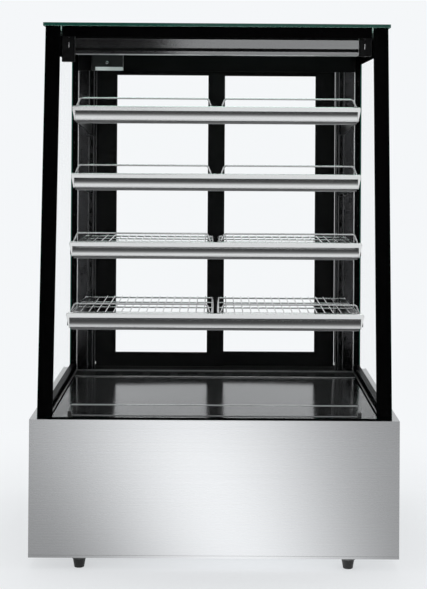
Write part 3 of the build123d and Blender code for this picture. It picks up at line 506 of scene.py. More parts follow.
@dataclass(frozen=True)
class Glow(Finish):
    """Lit segment of a display.

    Attributes:
        tone: Colour of the light.
        power: Strength of the light.
    """

    tone: Colour = (1.0, 0.16, 0.05)
    power: float = 1.2

    def shade(self, recipe: Recipe) -> Wire:
        """Lit plastic, a little uneven."""
        uneven = recipe.noise(500.0)
        return recipe.node("BsdfPrincipled", Base_Color=grey(0.02), Roughness=0.4,
                           Emission_Color=recipe.mix(uneven, scaled(self.tone, 0.8), self.tone),
                           Emission_Strength=self.power)


@dataclass(frozen=True)
class Pale(Finish):
    """Studio floor: white paper that keeps the shadow near the case and fades out beyond.

    Attributes:
        tone: Colour of the paper.
        glow: Plain light that replaces it.
        near: Distance from the middle where the paper starts to fade.
        far: Distance where it has faded.
        paper_share: Share of the paper near the case.
        band: Strength of the bright band that only reflections see.
        band_start: Middle of the band at the case and its shift per metre.
        band_width: Half width of the band at the case and its growth per metre.
        band_power: Light of the band at the case and its growth per metre.
        band_front: Distances in front of the middle between which the band sets in.
        band_end: Distances between which it ends.
        panel: Distance of the front panel from the middle.
        high: Squared heights between which a piece is above the base.
        dark: What the shelves lose of the light from the floor close to the case.
        dark_end: Distances between which that loss ends.
    """

    tone: Colour = (0.92, 0.93, 0.94)
    glow: Colour = (0.913, 0.930, 0.947)
    near: float = 0.3
    far: float = 1.3
    paper_share: float = 0.45
    band: float = 2.0
    band_start: tuple[float, float] = (0.105, 0.101)
    band_width: tuple[float, float] = (0.20, 0.080)
    band_power: tuple[float, float] = (0.9, 0.3)
    band_front: tuple[float, float] = (0.1, 0.36)
    band_end: tuple[float, float] = (3.0, 3.5)
    panel: float = 0.36
    high: tuple[float, float] = (0.2, 0.3)
    dark: float = -0.9
    dark_end: tuple[float, float] = (0.8, 2.8)

    def shade(self, recipe: Recipe) -> Wire:
        """Paper near the case, plain light beyond, as seen by the camera and by glass."""
        across, deep = (recipe.part(recipe.place(), axis) for axis in (X, Y))
        reach = (across * across + deep * deep) ** 0.5
        fade = recipe.span(reach, self.near, self.far)
        fibre = recipe.noise(300.0, detail=3.0)
        paper = recipe.node("BsdfPrincipled", Roughness=0.9,
                            Base_Color=recipe.mix(fibre, scaled(self.tone, 0.99), self.tone))
        shiny = recipe.ray("Is Glossy Ray")
        shine = self.shine(recipe, across, deep * -1.0)
        light = recipe.node("Emission", Color=self.glow, Strength=shine * shiny + 1.0)
        plain = (fade * self.paper_share + (1.0 - self.paper_share)) * recipe.seen()
        return recipe.node("MixShader", s0=plain.at_least(shiny), s1=paper, s2=light)

    def shine(self, recipe: Recipe, across: Wire, away: Wire) -> Wire:
        """What reflections see beside the plain light.

        Low sheets, such as the front panel, see a bright band that leans across the floor.
        Pieces above the base see the floor close to the case go dark.

        Args:
            recipe: Recipe to add to.
            across: Distance to the right of the middle.
            away: Distance in front of the middle.

        Returns:
            Strength to add to the plain light.
        """
        middle = self.band_start[0] - away * self.band_start[1]
        width = away * self.band_width[1] + self.band_width[0]
        side = recipe.span(abs(across - middle) / (width * 2.0), 0.0, 1.0, 1.0, 0.0)
        front = recipe.span(away, *self.band_front)
        end = recipe.span(away, *self.band_end, 1.0, 0.0)
        power = away * self.band_power[1] + self.band_power[0]
        band = side * front * end * power * self.band
        length, reach = recipe.ray("Ray Length"), away - self.panel
        high = recipe.span(length * length - reach * reach, *self.high)
        dark = recipe.span(away, *self.dark_end, self.dark, 0.0)
        return band * (1.0 - high) + dark * high


ZINC = BrushedSteel("zinc_plate", (0.5, 0.51, 0.52), 0.42, Grain.UPRIGHT, 0.00001, 0.3)
REAR_STEEL = BrushedSteel("rear_steel", grey(0.42), 0.34, smear=0.05)
SCREW_STEEL = Chrome("screw_steel")
COPPER = Coated("copper", (0.72, 0.33, 0.18), 0.3, metal=1.0)
SATIN_BLACK = Coated("satin_black", (0.006, 0.006, 0.0061), 0.35, mirror=0.05)
BLACK_PLASTIC = Coated("black_plastic", grey(0.012), 0.45)
COMPRESSOR_PAINT = Coated("compressor_paint", grey(0.01), 0.25, coat=0.5)
MARK_WHITE = Coated("mark_white", grey(0.6), 0.5)
BRUSH_PILE = Coated("brush_pile", grey(0.02), 0.9, mirror=0.05, texture=3000.0,
                    depth=0.0004)
OPAL_LENS = Frosted("opal_lens")


@dataclass
class Studio:
    """Floor, lamps, background and camera.

    Attributes:
        eye: Camera place in metres.
        pitch: Degrees that the camera looks down.
        roll: Degrees that the camera turns about its own line of sight.
        yaw: Degrees that the camera turns left.
        lens: Focal length in millimetres.
        sensor: Long side of the sensor in millimetres.
        shift: Lens shift across and up, as a share of the long side.
        floor_size: Side of the floor.
        ambient: Colour of the light from all round.
        background: Colour that the camera, glass and reflections see there.
        flag: Corners of the black card.
    """

    eye: Place = (0.0009, -3.51, 1.0554)
    pitch: float = -0.466
    roll: float = 0.369
    yaw: float = -0.202
    lens: float = 79.21
    sensor: float = 36.0
    shift: tuple[float, float] = (-0.0134, -0.2891)
    floor_size: float = 60.0
    ambient: Colour = (0.62, 0.63, 0.64)
    background: Colour = (0.913, 0.930, 0.947)
    flag: tuple[Place, Place] = ((-2.5, -3.32, 1.30), (-0.22, -3.30, 2.60))

    def build(self) -> None:
        """Make the whole studio."""
        self.lay_floor()
        self.light_world()
        self.hang_lamps()
        self.hang_flag()
        self.aim_camera()
        bpy.context.scene.view_settings.view_transform = "Standard"

    def lay_floor(self) -> None:
        """Lay a large pale floor under the feet."""
        deselect()
        bpy.ops.mesh.primitive_plane_add(size=self.floor_size, location=(0, 0, 0))
        floor = bpy.context.object
        floor.name = "studio_floor"
        Pale("studio_paper").dress(floor)

    def light_world(self) -> None:
        """Pale to the camera, through glass and in reflections, and softer as light."""
        world = bpy.data.worlds.new("studio_light")
        bpy.context.scene.world = world
        world.use_nodes = True
        recipe = Recipe(world.node_tree)
        colour = recipe.mix(recipe.seen(), self.ambient, self.background)
        recipe.finish(recipe.node("Background", Color=colour, Strength=1.0), "OutputWorld")

    def hang_lamps(self) -> None:
        """Hang the soft boxes: over the case, at both sides and behind it."""
        middle = (0.0, 0.0, 0.55)
        self.lamp("top_box", (0.0, 0.2, 3.4), middle, (2.4, 1.8), 20.0)
        for name, x in (("left_box", -3.0), ("right_box", 3.0)):
            self.lamp(name, (x, 0.2, 1.8), middle, (0.8, 1.6), 6.0)
        self.lamp("rear_box", (0.0, 2.4, 3.6), (0.0, 0.35, 0.6), (1.6, 0.8), 14.0)

    def hang_flag(self) -> None:
        """Hang a black card that darkens the left half of the canopy."""
        flag = Bench.block("studio_flag", *self.flag)
        Coated("flag_black", grey(0.004), 0.8, mirror=0.0).dress(flag)

    @staticmethod
    def lamp(name: str, place: Place, target: Place, size: tuple[float, float],
             power: float) -> None:
        """Hang one rectangular lamp.

        Args:
            name: Name of the lamp.
            place: Its middle.
            target: Point that it is aimed at.
            size: Its width and height.
            power: Its power in watts.
        """
        light = bpy.data.lights.new(name, "AREA")
        light.shape = "RECTANGLE"
        light.size, light.size_y = size
        light.energy = power
        lamp = bpy.data.objects.new(name, light)
        aim = (Vector(target) - Vector(place)).to_track_quat("-Z", "Y").to_matrix().to_4x4()
        lamp.matrix_world = Matrix.Translation(place) @ aim
        bpy.context.scene.collection.objects.link(lamp)

    def aim_camera(self) -> None:
        """Place the camera at the photograph's view."""
        lens = bpy.data.cameras.new("view")
        lens.lens, lens.sensor_width = self.lens, self.sensor
        lens.shift_x, lens.shift_y = self.shift
        camera = bpy.data.objects.new("view", lens)
        turn, down, spin = (Matrix.Rotation(math.radians(angle), 4, axis) for angle, axis in
                            ((self.yaw, "Z"), (90.0 - self.pitch, "X"), (self.roll, "Z")))
        camera.matrix_world = Matrix.Translation(self.eye) @ turn @ down @ spin
        bpy.context.scene.collection.objects.link(camera)
        bpy.context.scene.camera = camera


def deselect() -> None:
    """Deselect everything."""
    bpy.ops.object.select_all(action="DESELECT")


class Bench:
    """Modelling steps by hand tools. Each works on one piece and leaves it in object mode."""

    @staticmethod
    def own(name: str) -> Piece:
        """Name the new object and move its place into its mesh.

        Args:
            name: Name of the piece.

        Returns:
            The piece.
        """
        piece = bpy.context.object
        piece.name = name
        bpy.ops.object.transform_apply(location=True, rotation=True, scale=True)
        return piece

    @staticmethod
    def activate(piece: Piece) -> None:
        """Select one piece, and make it the active one."""
        deselect()
        piece.select_set(True)
        bpy.context.view_layer.objects.active = piece

    @staticmethod
    def link(name: str, data: bpy.types.ID) -> Piece:
        """Put an object with that data in the scene."""
        piece = bpy.data.objects.new(name, data)
        bpy.context.scene.collection.objects.link(piece)
        return piece

    @staticmethod
    def block(name: str, low: Place, high: Place) -> Piece:
        """Start a piece from a cube.

        Args:
            name: Name of the piece.
            low: Its low corner.
            high: Its high corner.

        Returns:
            The piece.
        """
        deselect()
        size = [end - start for start, end in zip(low, high)]
        middle = [(start + end) / 2 for start, end in zip(low, high)]
        bpy.ops.mesh.primitive_cube_add(size=1.0, location=middle, scale=size)
        return Bench.own(name)

    @staticmethod
    def drum(name: str, middle: Place, radius: float, depth: float, way: Place,
             sides: int = 24) -> Piece:
        """Start a piece from a cylinder.

        Args:
            name: Name of the piece.
            middle: Middle of the cylinder.
            radius: Its radius.
            depth: Its length.
            way: Way that its axis points.
            sides: Number of its sides.

        Returns:
            The piece.
        """
        deselect()
        turn = Vector(way).to_track_quat("Z", "Y").to_euler()
        bpy.ops.mesh.primitive_cylinder_add(vertices=sides, radius=radius, depth=depth,
                                            location=middle, rotation=turn)
        return Bench.own(name)

    @staticmethod
    @contextmanager
    def edit(piece: Piece, pick: Pick, test: Test) -> Iterator[None]:
        """Open a piece in edit mode with only some edges or faces selected.

        Args:
            piece: Piece to edit.
            pick: Edges or faces.
            test: Says yes for the middle and normal of a face, or the middle and way of an edge.
        """
        Bench.activate(piece)
        bpy.context.tool_settings.mesh_select_mode = pick.value
        mesh = piece.data
        for group in (mesh.vertices, mesh.edges, mesh.polygons):
            group.foreach_set("select", [False] * len(group))
        if pick is Pick.FACES:
            for face in mesh.polygons:
                face.select = test(face.center, face.normal)
        else:
            for edge in mesh.edges:
                first, last = (mesh.vertices[index].co for index in edge.vertices)
                edge.select = test((first + last) / 2, (last - first).normalized())
        bpy.ops.object.mode_set(mode="EDIT")
        yield
        bpy.ops.object.mode_set(mode="OBJECT")

    @staticmethod
    def soften(piece: Piece, width: float, steps: int = 2, test: Test | None = None) -> None:
        """Round edges.

        Args:
            piece: Piece to work on.
            width: Radius of the rounding.
            steps: Its segments.
            test: Says which edges, and all of them are rounded without it.
        """
        with Bench.edit(piece, Pick.EDGES, test or (lambda middle, way: True)):
            bpy.ops.mesh.bevel(offset=width, segments=steps, affect="EDGES")

    @staticmethod
    def sink(piece: Piece, way: Place, border: float, depth: float) -> None:
        """Inset faces, and push them in.

        Args:
            piece: Piece to work on.
            way: Way that the faces look.
            border: Width of the border that stays.
            depth: How far they are pushed in.
        """
        look = Vector(way)
        with Bench.edit(piece, Pick.FACES, lambda middle, normal: normal.dot(look) > ALONG):
            bpy.ops.mesh.inset(thickness=border)
            bpy.ops.mesh.extrude_region_move(
                TRANSFORM_OT_translate={"value": tuple(-depth * look)})

    @staticmethod
    def cut(piece: Piece, tool: Piece) -> None:
        """Take the space of a tool away from a piece, and drop the tool.

        Args:
            piece: Piece to cut.
            tool: Tool to cut it with.
        """
        step = piece.modifiers.new("cut", "BOOLEAN")
        step.operation, step.object, step.solver = "DIFFERENCE", tool, "EXACT"
        Bench.activate(piece)
        bpy.ops.object.modifier_apply(modifier=step.name)
        bpy.data.objects.remove(tool)

    @staticmethod
    def ring(name: str, low: Place, high: Place, border: float) -> Piece:
        """Upright rectangular frame: the front and rear are inset and bridged.

        Args:
            name: Name of the piece.
            low: Its low corner.
            high: Its high corner.
            border: Width of the frame.

        Returns:
            The piece.
        """
        piece = Bench.block(name, low, high)
        with Bench.edit(piece, Pick.FACES, along(Y)):
            bpy.ops.mesh.inset(thickness=border)
            bpy.ops.mesh.bridge_edge_loops()
        return piece

    @staticmethod
    def wire(name: str, points: Sequence[Place], radius: float, closed: bool = False) -> Piece:
        """Round wire through points.

        Args:
            name: Name of the piece.
            points: Points that it runs through.
            radius: Its radius.
            closed: Whether its ends meet.

        Returns:
            The piece.
        """
        curve = bpy.data.curves.new(name, "CURVE")
        curve.dimensions = "3D"
        curve.bevel_depth, curve.bevel_resolution = radius, 2
        curve.use_fill_caps = not closed
        spline = curve.splines.new("POLY")
        spline.points.add(len(points) - 1)
        for knot, place in zip(spline.points, points):
            knot.co = (*place, 1.0)
        spline.use_cyclic_u = closed
        Bench.activate(Bench.link(name, curve))
        bpy.ops.object.convert(target="MESH")
        return bpy.context.object

    @staticmethod
    def screw(name: str, place: Place, radius: float, way: Place) -> Piece:
        """Pan head with a round socket.

        Args:
            name: Name of the piece.
            place: Middle of the foot of the head.
            radius: Its radius.
            way: Way that it looks.

        Returns:
            The piece.
        """
        foot, look, height = Vector(place), Vector(way), 0.6 * radius
        head = Bench.drum(name, foot + look * height / 2, radius, height, way)
        Bench.soften(head, 0.25 * radius, 3, lambda middle, run:
                     (middle - foot).dot(look) > 0.9 * height)
        Bench.sink(head, way, 0.3 * radius, 0.3 * radius)
        return head

    @staticmethod
    def repeat(piece: Piece, offsets: Sequence[Place]) -> Piece:
        """Join copies of a piece, and drop the pattern.

        Args:
            piece: Pattern.
            offsets: Place of each copy, from the pattern's.

        Returns:
            The copies as one piece.
        """
        name, copies = piece.name, []
        for offset in offsets:
            copies.append(Bench.link(name, piece.data.copy()))
            copies[-1].data.transform(Matrix.Translation(offset))
        bpy.data.objects.remove(piece)
        return Bench.join(name, copies)

    @staticmethod
    def both_sides(piece: Piece) -> Piece:
        """Join a piece with its mirror image across the middle of the case.

        Args:
            piece: Right one of the two.

        Returns:
            Both as one piece.
        """
        copy = Bench.link(piece.name, piece.data.copy())
        copy.data.transform(Matrix.Diagonal((-1.0, 1.0, 1.0, 1.0)))
        copy.data.flip_normals()
        return Bench.join(piece.name, [piece, copy])

    @staticmethod
    def join(name: str, parts: Sequence[Piece]) -> Piece:
        """Make one piece of several.

        Args:
            name: Name of the piece.
            parts: Pieces that it is made of.

        Returns:
            The piece.
        """
        deselect()
        for part in parts:
            part.select_set(True)
        bpy.context.view_layer.objects.active = parts[0]
        bpy.ops.object.join()
        parts[0].name = name
        return parts[0]

    @staticmethod
    def clean(piece: Piece) -> None:
        """Merge doubles, point the faces outwards and smooth the round ones."""
        with Bench.edit(piece, Pick.FACES, lambda middle, normal: True):
            bpy.ops.mesh.remove_doubles(threshold=0.000005)
            bpy.ops.mesh.normals_make_consistent(inside=False)
        bpy.ops.object.shade_smooth_by_angle(angle=math.radians(35.0))


class Fitting:
    """A sub-assembly of small pieces that are modelled here."""

    body = "case"

    def put(self, piece: Piece, finish: Finish, slot: str, body: str | None = None) -> None:
        """Clean, dress and mount a finished piece.

        Args:
            piece: Piece to mount.
            finish: Its finish.
            slot: Material slot of the record; not used.
            body: Body that it moves with, where that isn't the sub-assembly's own.
        """
        Bench.clean(piece)
        finish.dress(piece)
        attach(piece, body or self.body)
        LOG.info("modelled %s, %d faces", piece.name, len(piece.data.polygons))


@dataclass
class PostTrim(Fitting):
    """Bright corner strips that are a painted highlight along the rear posts' corners, and the
    ribs beside the bracket slots of the rear posts.

    Attributes:
        post_width: Width of a post.
        strip: Width of a corner strip.
        inner_share: Width of an inner strip as a share of that.
        proud: How far the strips stand in front of a post.
        rib: Width of a rib.
        slot_setback: Middle of the bracket slots from the outer side of a post.
        rib_gap: Clear width between the ribs.
    """

    post_width: float = 0.055
    strip: float = 0.0026
    inner_share: float = 0.8
    proud: float = 0.003
    rib: float = 0.0024
    slot_setback: float = 0.0395
    rib_gap: float = 0.012

    def build(self) -> None:
        """Make the strips and the ribs of both posts."""
        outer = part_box("rear_posts")[1].x
        # Painted highlight: a bright chrome strip stands for the highlight along the outer corner
        # of each post.
        bright = Chrome("painted_highlight_strip", grey(0.70), 0.22)
        soft = Chrome("dull_strip", grey(0.09), 0.3)
        self.put(self.strips("post_corner_painted_highlights", outer - self.strip, self.strip), bright,
                 "post_gloss")
        self.put(self.strips("post_inner_strips", outer - self.post_width,
                             self.inner_share * self.strip), soft, "post_gloss")
        slots = outer - self.slot_setback
        first = self.strips("post_ribs", slots + self.rib_gap / 2, self.rib)
        other = self.strips("post_ribs_inner", slots - self.rib_gap / 2 - self.rib, self.rib)
        dull = Coated("rib_grey", (0.075, 0.075, 0.076), 0.3, metal=0.9)
        self.put(Bench.join("post_ribs", [first, other]), dull, "post_gloss")

    def strips(self, name: str, start: float, width: float) -> Piece:
        """One upright strip on each post, with rounded corners.

        Args:
            name: Name of the piece.
            start: Side of the right strip nearer the middle of the case.
            width: Width of a strip.

        Returns:
            Both strips as one piece.
        """
        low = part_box("rear_posts")[0]
        strip = Bench.block(name, (start, low.y - self.proud, low.z),
                            (start + width, low.y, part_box("rear_header")[0].z))
        Bench.soften(strip, 0.3 * width, 2, along(Z))
        return Bench.both_sides(strip)


@dataclass
class LampCover(Fitting):
    """Bright lip under the driver box, its rim and its cross screw.

    Attributes:
        lip: Height of the bright lip.
        lip_drop: How far the lip hangs below the box.
        lip_corner: Radius of the lip's free corners.
        inset: Start of the lip from the left end of the box.
        sheet: Thickness of the cover.
        rim: Width, thickness in front of the box and reach behind its front.
        rim_drop: Head of the rim below the top of the box.
        screw: Radius of the screw head.
        screw_head: Height of the screw head.
        slot_depth: Depth of its cross slot.
        slot: Half length and half width of a slot.
    """

    lip: float = 0.0095
    lip_drop: float = 0.001
    lip_corner: float = 0.0035
    inset: float = 0.012
    sheet: float = 0.0014
    rim: tuple[float, float, float] = (0.0011, 0.0006, 0.012)
    rim_drop: float = 0.001
    screw: float = 0.0043
    screw_head: float = 0.0028
    slot_depth: float = 0.0007
    slot: tuple[float, float] = (0.0026, 0.00045)

    def build(self) -> None:
        """Make the lip, the screw and the rim."""
        low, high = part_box("junction_box")
        lip = Bench.block("junction_lip",
                          (low.x + self.inset, low.y - self.sheet, low.z - self.lip_drop),
                          (high.x + self.sheet, low.y, low.z + self.lip))
        Bench.soften(lip, self.lip_corner, 4, lambda middle, way:
                     abs(way.y) > ALONG and middle.x > high.x - 0.004)
        self.put(lip, Coated("white_lip", grey(0.82), 0.4, mirror=0.5), "dark_box")
        middle = ((low.x + high.x) / 2, low.y, (low.z + high.z) / 2)
        self.put(self.cross_screw(middle), SCREW_STEEL, "dark_box")
        wide, proud, deep = self.rim
        rim = Bench.block("junction_rim", (high.x, low.y - proud, low.z + self.lip),
                          (high.x + wide, low.y + deep, high.z - self.rim_drop))
        Bench.soften(rim, 0.0004)
        self.put(rim, Chrome("satin_strip", grey(0.33), 0.3), "dark_box")

    def cross_screw(self, place: Place) -> Piece:
        """Domed screw head with a cross slot, over the plain head of the CAD part.

        Args:
            place: Middle of the foot of the head.

        Returns:
            The head.
        """
        x, y, z = place
        head = Bench.drum("junction_screw", (x, y - self.screw_head / 2, z), self.screw,
                          self.screw_head, (0.0, -1.0, 0.0), 24)
        Bench.soften(head, 0.0006, 3, lambda middle, way: middle.y < y - 0.9 * self.screw_head)
        front = y - self.screw_head
        for wide, tall in (self.slot, self.slot[::-1]):
            arm = Bench.block("slot", (x - wide, front - 0.001, z - tall),
                              (x + wide, front + self.slot_depth, z + tall))
            Bench.cut(head, arm)
        return head


@dataclass
class CanopyFittings(Fitting):
    """Spring clips and screws of the canopy lamp, and black cords that are painted shade in its
    gaps.

    Attributes:
        clip: Width and height of a clip.
        clip_proud: How far a clip stands in front of its bracket.
        clip_setback: Middle of a clip from the outer side of its bracket.
        screw: Radius of a screw.
        screw_drop: Middle of a screw below the top of the lamp's hangers.
        groove: Top and foot of the black cord in the groove below the head of the lamp.
        groove_setback: Front of that cord behind the face of the lamp.
        top_gap: Gap above the lamp, which its hangers bridge.
        top_shade_cord: Height of the black cord on top of the lamp.
        shade_cord_depth: Depth of both cords.
        shade_cord_end: Gap at the ends of the cords.
    """

    clip: tuple[float, float] = (0.0022, 0.014)
    clip_proud: float = 0.0016
    clip_setback: float = 0.018
    screw: float = 0.003
    screw_drop: float = 0.001
    groove: tuple[float, float] = (0.0233, 0.0307)
    groove_setback: float = 0.0004
    top_gap: float = 0.005
    top_shade_cord: float = 0.0049
    shade_cord_depth: float = 0.003
    shade_cord_end: float = 0.001

    def build(self) -> None:
        """Make the clips and screws on both brackets, and the black cords of painted shade."""
        low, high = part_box("top_frame")
        lamp_low, lamp_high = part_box("canopy_lamp_housing")
        x, z = high.x - self.clip_setback, (lamp_low.z + lamp_high.z) / 2
        wide, tall = self.clip
        clip = Bench.block("canopy_clips", (x - wide / 2, low.y - self.clip_proud, z - tall / 2),
                           (x + wide / 2, low.y, z + tall / 2))
        Bench.soften(clip, 0.0006, 3)
        self.put(Bench.both_sides(clip), Chrome("clip_steel", grey(0.5), 0.25),
                 "canopy_steel")
        screw = Bench.screw("canopy_screws", (x, low.y, lamp_high.z - self.screw_drop),
                            self.screw, (0.0, -1.0, 0.0))
        self.put(Bench.both_sides(screw), Coated("black_screw", grey(0.02), 0.3,
                                                 metal=0.6), "black_frame")
        self.shade_cords(lamp_low, lamp_high)

    def shade_cords(self, low: Vector, high: Vector) -> None:
        """Black cords as painted shade in the groove of the lamp and along the top of its face.

        Args:
            low: Low corner of the lamp.
            high: High corner of the lamp, at the top of its hangers.
        """
        head = high.z - self.top_gap
        top, foot = self.groove
        for name, start, end, setback in (
                ("canopy_groove_painted_shade", head - foot, head - top, self.groove_setback),
                ("canopy_top_painted_shade", head, head + self.top_shade_cord, 0.0)):
            front = low.y + setback
            # Painted shade: a near-black cord fills each gap where there is only shade.
            cord = Bench.block(name, (low.x + self.shade_cord_end, front, start),
                               (high.x - self.shade_cord_end, front + self.shade_cord_depth, end))
            Bench.soften(cord, 0.0008, 3, along(X))
            self.put(cord, Coated("painted_shade_cord", grey(0.004), 0.6, mirror=0.05),
                     "canopy_steel")


@dataclass
class ShelfFittings(Fitting):
    """Lamp lenses and end cap screws of the shelves.

    Attributes:
        lens_drop: Foot of the lamp below the top of the trim.
        lens_front: Front of the lens behind the front of the trim.
        lens_depth: Depth of the lens.
        lens_inset: End of the lens inside the end of the trim.
        lens_proud: How far the lens stands below the lamp.
        screw: Radius of a cap screw.
        screw_drop: Middle of a cap screw below the top of the trim.
    """

    lens_drop: float = 0.044
    lens_front: float = 0.019
    lens_depth: float = 0.020
    lens_inset: float = 0.017
    lens_proud: float = 0.0008
    screw: float = 0.0026
    screw_drop: float = 0.0062

    def build(self) -> None:
        """Fit every shelf."""
        for level in SHELVES:
            self.fit_lens(level)
            self.fit_screws(level)

    def fit_lens(self, level: int) -> None:
        """Opal lens with rounded long edges under the lamp.

        Args:
            level: Number of the shelf.
        """
        low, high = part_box(f"shelf_{level}_trim")
        foot = high.z - self.lens_drop
        front = low.y + self.lens_front
        reach = high.x - self.lens_inset
        lens = Bench.block(f"shelf_{level}_lamp_lens", (-reach, front, foot - self.lens_proud),
                           (reach, front + self.lens_depth, foot))
        Bench.soften(lens, 0.0006, 2, lambda middle, way:
                     abs(way.x) > ALONG and middle.z < foot - 0.0004)
        self.put(lens, OPAL_LENS, "frosted_lens")

    def fit_screws(self, level: int) -> None:
        """One screw in the outer side of each end cap.

        Args:
            level: Number of the shelf.
        """
        low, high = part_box(f"shelf_{level}_trim")
        place = (high.x, (low.y + high.y) / 2, high.z - self.screw_drop)
        screw = Bench.screw(f"shelf_{level}_cap_screws", place, self.screw, (1.0, 0.0, 0.0))
        self.put(Bench.both_sides(screw), SCREW_STEEL, "trim_steel")


@dataclass
class DeckFittings(Fitting):
    """Polished rim and end clips of the clear deflector, and the lip at the rear of the deck.

    Attributes:
        rim: Width of the bright rim.
        rim_thick: Thickness of the rim on the front face.
        rim_corner: Radius of its upper corners.
        lip: Thickness and height of the rear lip.
        clip: Width, depth and height of a clip.
        clip_proud: How far a clip stands in front of the deflector.
    """

    rim: float = 0.0022
    rim_thick: float = 0.0006
    rim_corner: float = 0.006
    lip: tuple[float, float] = (0.0015, 0.0035)
    clip: tuple[float, float, float] = (0.010, 0.009, 0.012)
    clip_proud: float = 0.003

    def build(self) -> None:
        """Make the rim, the clips and the lip."""
        low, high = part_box("air_deflector")
        rim = Bench.ring("deflector_rim", (low.x, low.y - self.rim_thick, low.z),
                         (high.x, low.y, high.z), self.rim)
        Bench.soften(rim, self.rim_corner, 5, lambda middle, way:
                     abs(way.y) > ALONG and middle.z > high.z - TOUCH)
        self.put(rim, Coated("acrylic_edge", (0.42, 0.43, 0.43), 0.25, mirror=0.6),
                 "clear_acrylic")
        self.clips(low, high)
        thick, tall = self.lip
        low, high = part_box("deck_pan")
        lip = Bench.block("deck_rear_lip", (low.x, high.y - thick, high.z),
                          (high.x, high.y, high.z + tall))
        Bench.soften(lip, 0.0006, 2, along(X))
        self.put(lip, BrushedSteel("lip_steel", grey(0.3), 0.25), "deck_steel")

    def clips(self, low: Vector, high: Vector) -> None:
        """A stepped clip at each end of the deflector.

        Args:
            low: Low corner of the deflector.
            high: High corner of the deflector.
        """
        wide, deep, tall = self.clip
        front = low.y - self.clip_proud
        clip = Bench.block("deflector_clips", (high.x - wide / 2, front, low.z),
                           (high.x + wide / 2, front + deep, low.z + tall))
        Bench.soften(clip, 0.002, 3, lambda middle, way: middle.z > low.z + tall - TOUCH)
        Bench.sink(clip, (0.0, -1.0, 0.0), 0.002, 0.001)
        self.put(Bench.both_sides(clip), Coated("clip_grey", grey(0.12), 0.35, metal=0.3),
                 "clear_acrylic")


@dataclass
class DoorFittings(Fitting):
    """Glass gaskets, pull rims and brushes of the two sliding doors.

    Attributes:
        bite: How deep the frame holds the glass.
        gasket: Visible width of the gasket.
        gasket_thick: Thickness of the gasket on the glass.
        rim: Width of the rim round a pull.
        rim_thick: How far the rim stands out.
        rim_corner: Radius of its corners.
        brush: Width and depth of the brush between the doors.
        jamb: Thickness and depth of the brushes on the posts.
        jamb_setback: Their front behind the front of the front door.
        end_gap: Gap at the ends of the brushes.
    """

    bite: float = 0.008
    gasket: float = 0.0012
    gasket_thick: float = 0.002
    rim: float = 0.0025
    rim_thick: float = 0.0012
    rim_corner: float = 0.0045
    brush: tuple[float, float] = (0.005, 0.003)
    jamb: tuple[float, float] = (0.0016, 0.008)
    jamb_setback: float = 0.002
    end_gap: float = 0.02

    def build(self) -> None:
        """Fit both doors."""
        for side in SIDES:
            self.gaskets(side)
            self.pull_rim(side)
        self.meeting_brush()
        self.jamb_brushes()

    def gaskets(self, side: str) -> None:
        """Gasket on both faces of a pane.

        Args:
            side: Side of the door.
        """
        rubber = Coated("gasket_rubber", grey(0.008), 0.6, mirror=0.1)
        low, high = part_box(f"door_{side}_glass")
        for face, start, end in (("front", low.y - self.gasket_thick, low.y),
                                 ("rear", high.y, high.y + self.gasket_thick)):
            ring = Bench.ring(f"door_{side}_gasket_{face}",
                              (low.x + self.bite, start, low.z + self.bite),
                              (high.x - self.bite, end, high.z - self.bite), self.gasket)
            self.put(ring, rubber, "door_black", f"door_{side}")

    def pull_rim(self, side: str) -> None:
        """Rounded rim round the cup of a pull.

        Args:
            side: Side of the door.
        """
        low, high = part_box(f"door_{side}_pull")
        rim = Bench.ring(f"door_{side}_pull_rim",
                         (low.x - self.rim, high.y, low.z - self.rim),
                         (high.x + self.rim, high.y + self.rim_thick, high.z + self.rim),
                         2 * self.rim)
        Bench.soften(rim, self.rim_corner, 5, along(Y))
        self.put(rim, Coated("pull_satin", grey(0.03), 0.35, metal=0.4), "pull_plastic",
                 f"door_{side}")

    def meeting_brush(self) -> None:
        """Brush strip on the rear of the inner door, at its meeting stile."""
        low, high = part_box("door_left_frame")
        wide, deep = self.brush
        brush = Bench.block("door_meeting_brush", (high.x - wide, high.y, low.z + self.end_gap),
                            (high.x, high.y + deep, high.z - self.end_gap))
        Bench.soften(brush, 0.001, 3, lambda middle, way:
                     abs(way.z) > ALONG and middle.y > high.y + 0.001)
        self.put(brush, BRUSH_PILE, "door_black", "door_left")

    def jamb_brushes(self) -> None:
        """Brush strip on the inner side of each post, beside the front door."""
        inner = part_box("rear_posts")[1].x - PostTrim.post_width
        low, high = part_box("door_left_frame")
        front = min(low.y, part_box("door_right_frame")[0].y) + self.jamb_setback
        thick, deep = self.jamb
        brush = Bench.block("door_jamb_brushes", (inner - thick, front, low.z + self.end_gap),
                            (inner, front + deep, high.z - self.end_gap))
        Bench.soften(brush, 0.0004, 2, lambda middle, way:
                     abs(way.z) > ALONG and middle.x < inner - 0.001)
        self.put(Bench.both_sides(brush), BRUSH_PILE, "black_frame")


